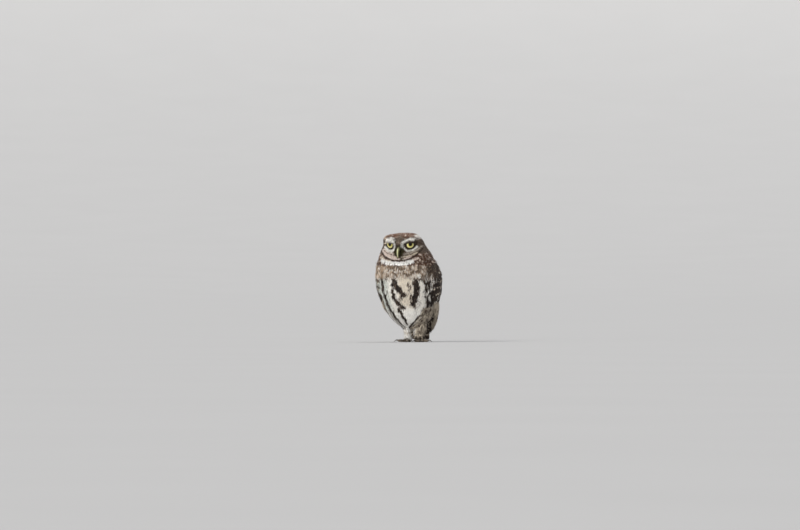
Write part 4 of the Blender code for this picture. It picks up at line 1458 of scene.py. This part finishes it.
def make_bill(surface):
    for name, rows in (("bill_upper", UPPER_BILL), ("bill_lower", LOWER_BILL)):
        line = smooth_rows(rows, 36)
        centres = np.array([on_head(0.0, forward, up) for forward, up, _ in line])
        make_horn(name, centres, line[:, 2], -HEAD_SIDE, 28, BILL_FLATTEN, 0.35, surface)


def claw_line(sign, bearing, toe_length, rings):
    """A claw's centre line and radii, arching from its toe's end to just above the floor."""
    angle = math.radians(bearing)
    ahead = np.array((sign * math.sin(angle), -math.cos(angle), 0.0))
    t = np.linspace(0, 1, rings)
    high, low = TOE_HEIGHT + 0.4, CLAW_CLEAR + CLAW_TIP
    height = high + (low - high) * t**1.6 + 1.3 * np.sin(math.pi * np.minimum(1.25 * t, 1))
    ankle = np.array((sign * LEG_LATERAL, ANKLE_BACK, 0.0))
    centres = ankle + ahead * (toe_length - 1.4 + CLAW_LENGTH * t)[:, None] + UP * height[:, None]
    return centres, CLAW_RADIUS + (CLAW_TIP - CLAW_RADIUS) * t, np.cross(ahead, UP)


def make_claws(surface):
    for side, sign in SIDES:
        for toe, (bearing, toe_length) in TOES.items():
            centres, radii, across = claw_line(sign, bearing, toe_length, 18)
            make_horn(f"claw_{side}_{toe}", centres, radii, across, 16, 0.85, 0.2, surface)


# Stage

FLAT, RUN, RISE = 13.5, 15.0, 2.2  # the floor's flat part, and its curve outward and up, in metres


def make_stage():
    """A pale floor that curves up all round, but stays low enough for the lights to pass over."""
    profile = [(r, 0.0) for r in (0.001, 0.5, 2.0, 5.0, FLAT)]
    profile += [(FLAT + RUN * math.sin(a), RISE * (1 - math.cos(a))) for a in np.radians(range(5, 91, 5))]
    around = 64
    turn = turns(around)
    points = [(r * math.cos(a), r * math.sin(a), z) for r, z in profile for a in turn]
    faces = grid_faces(len(profile), around, closed=True)
    floor = new_object("floor", new_mesh("floor", np.array(points) * METRE - ORIGIN, faces))
    floor.data.materials.append(floor_material())


def in_world(point):
    """A place in the frame's metres."""
    return Vector((np.asarray(point) + ORIGIN) / METRE)


def aim(thing, target):
    thing.rotation_euler = (target - thing.location).to_track_quat("-Z", "Y").to_euler()


def add_light(name, azimuth, elevation, softness, power, colour):
    """A soft light that shines evenly from one side."""
    light = bpy.data.lights.new(name, "SUN")
    light.angle, light.energy, light.color = math.radians(softness), power, colour
    a, e = math.radians(azimuth), math.radians(elevation)
    thing = new_object(name, light)
    thing.location = (math.sin(a) * math.cos(e), -math.cos(a) * math.cos(e), math.sin(e))
    aim(thing, Vector((0.0, 0.0, 0.0)))
    return light


def make_lights():
    add_light("key", -34, 38, 18, 1.4, (1.0, 0.98, 0.94))
    add_light("fill", -12, 7, 36, 1.3, (1.0, 0.985, 0.965)).specular_factor = 0.15
    add_light("glint", -22, 8, 8, 0.25, (1.0, 1.0, 1.0))
    add_light("top", 165, 60, 30, 0.7, (1.0, 1.0, 1.0))
    world = bpy.data.worlds.new("studio")
    world.use_nodes = True
    background = world.node_tree.nodes["Background"]
    background.inputs["Color"].default_value = (0.96, 0.96, 0.98, 1.0)
    background.inputs["Strength"].default_value = 0.5
    bpy.context.scene.world = world
    bpy.context.scene.view_settings.view_transform = "Standard"


# The camera stands level with the breast, to the bird's left of straight ahead.
VIEW_AZIMUTH = math.radians(15.0)
LENS, SENSOR = 300.0, 36.0
PICTURE = (800, 530)
SCALE = 1.818  # millimetres of the bird to a pixel
LEGS_AT = (413.0, 342.0)  # the pixel of the origin of the places


def make_camera():
    data = bpy.data.cameras.new("camera")
    data.lens, data.sensor_width, data.clip_end = LENS, SENSOR, 100.0
    right = np.array((math.cos(VIEW_AZIMUTH), math.sin(VIEW_AZIMUTH), 0.0))
    toward = np.array((math.sin(VIEW_AZIMUTH), -math.cos(VIEW_AZIMUTH), 0.0))
    aside, above = PICTURE[0] / 2 - LEGS_AT[0], LEGS_AT[1] - PICTURE[1] / 2
    target = right * aside * SCALE + UP * above * SCALE
    distance = PICTURE[0] * SCALE * LENS / SENSOR
    camera = new_object("camera", data)
    camera.location = in_world(target + toward * distance)
    aim(camera, in_world(target))
    bpy.context.scene.camera = camera


def main():
    skin = Skin()
    make_skin(skin, skin_material())
    feather, flight = feather_material("feathers", False), feather_material("flight_feathers", True)
    body_coats(skin, feather)
    head_coats(skin, feather)
    wing_feathers(skin, flight)
    tail_feathers(skin, flight)
    make_eyes(eye_material())
    make_bill(bill_material())
    make_claws(claw_material())
    make_stage()
    make_lights()
    make_camera()


main()
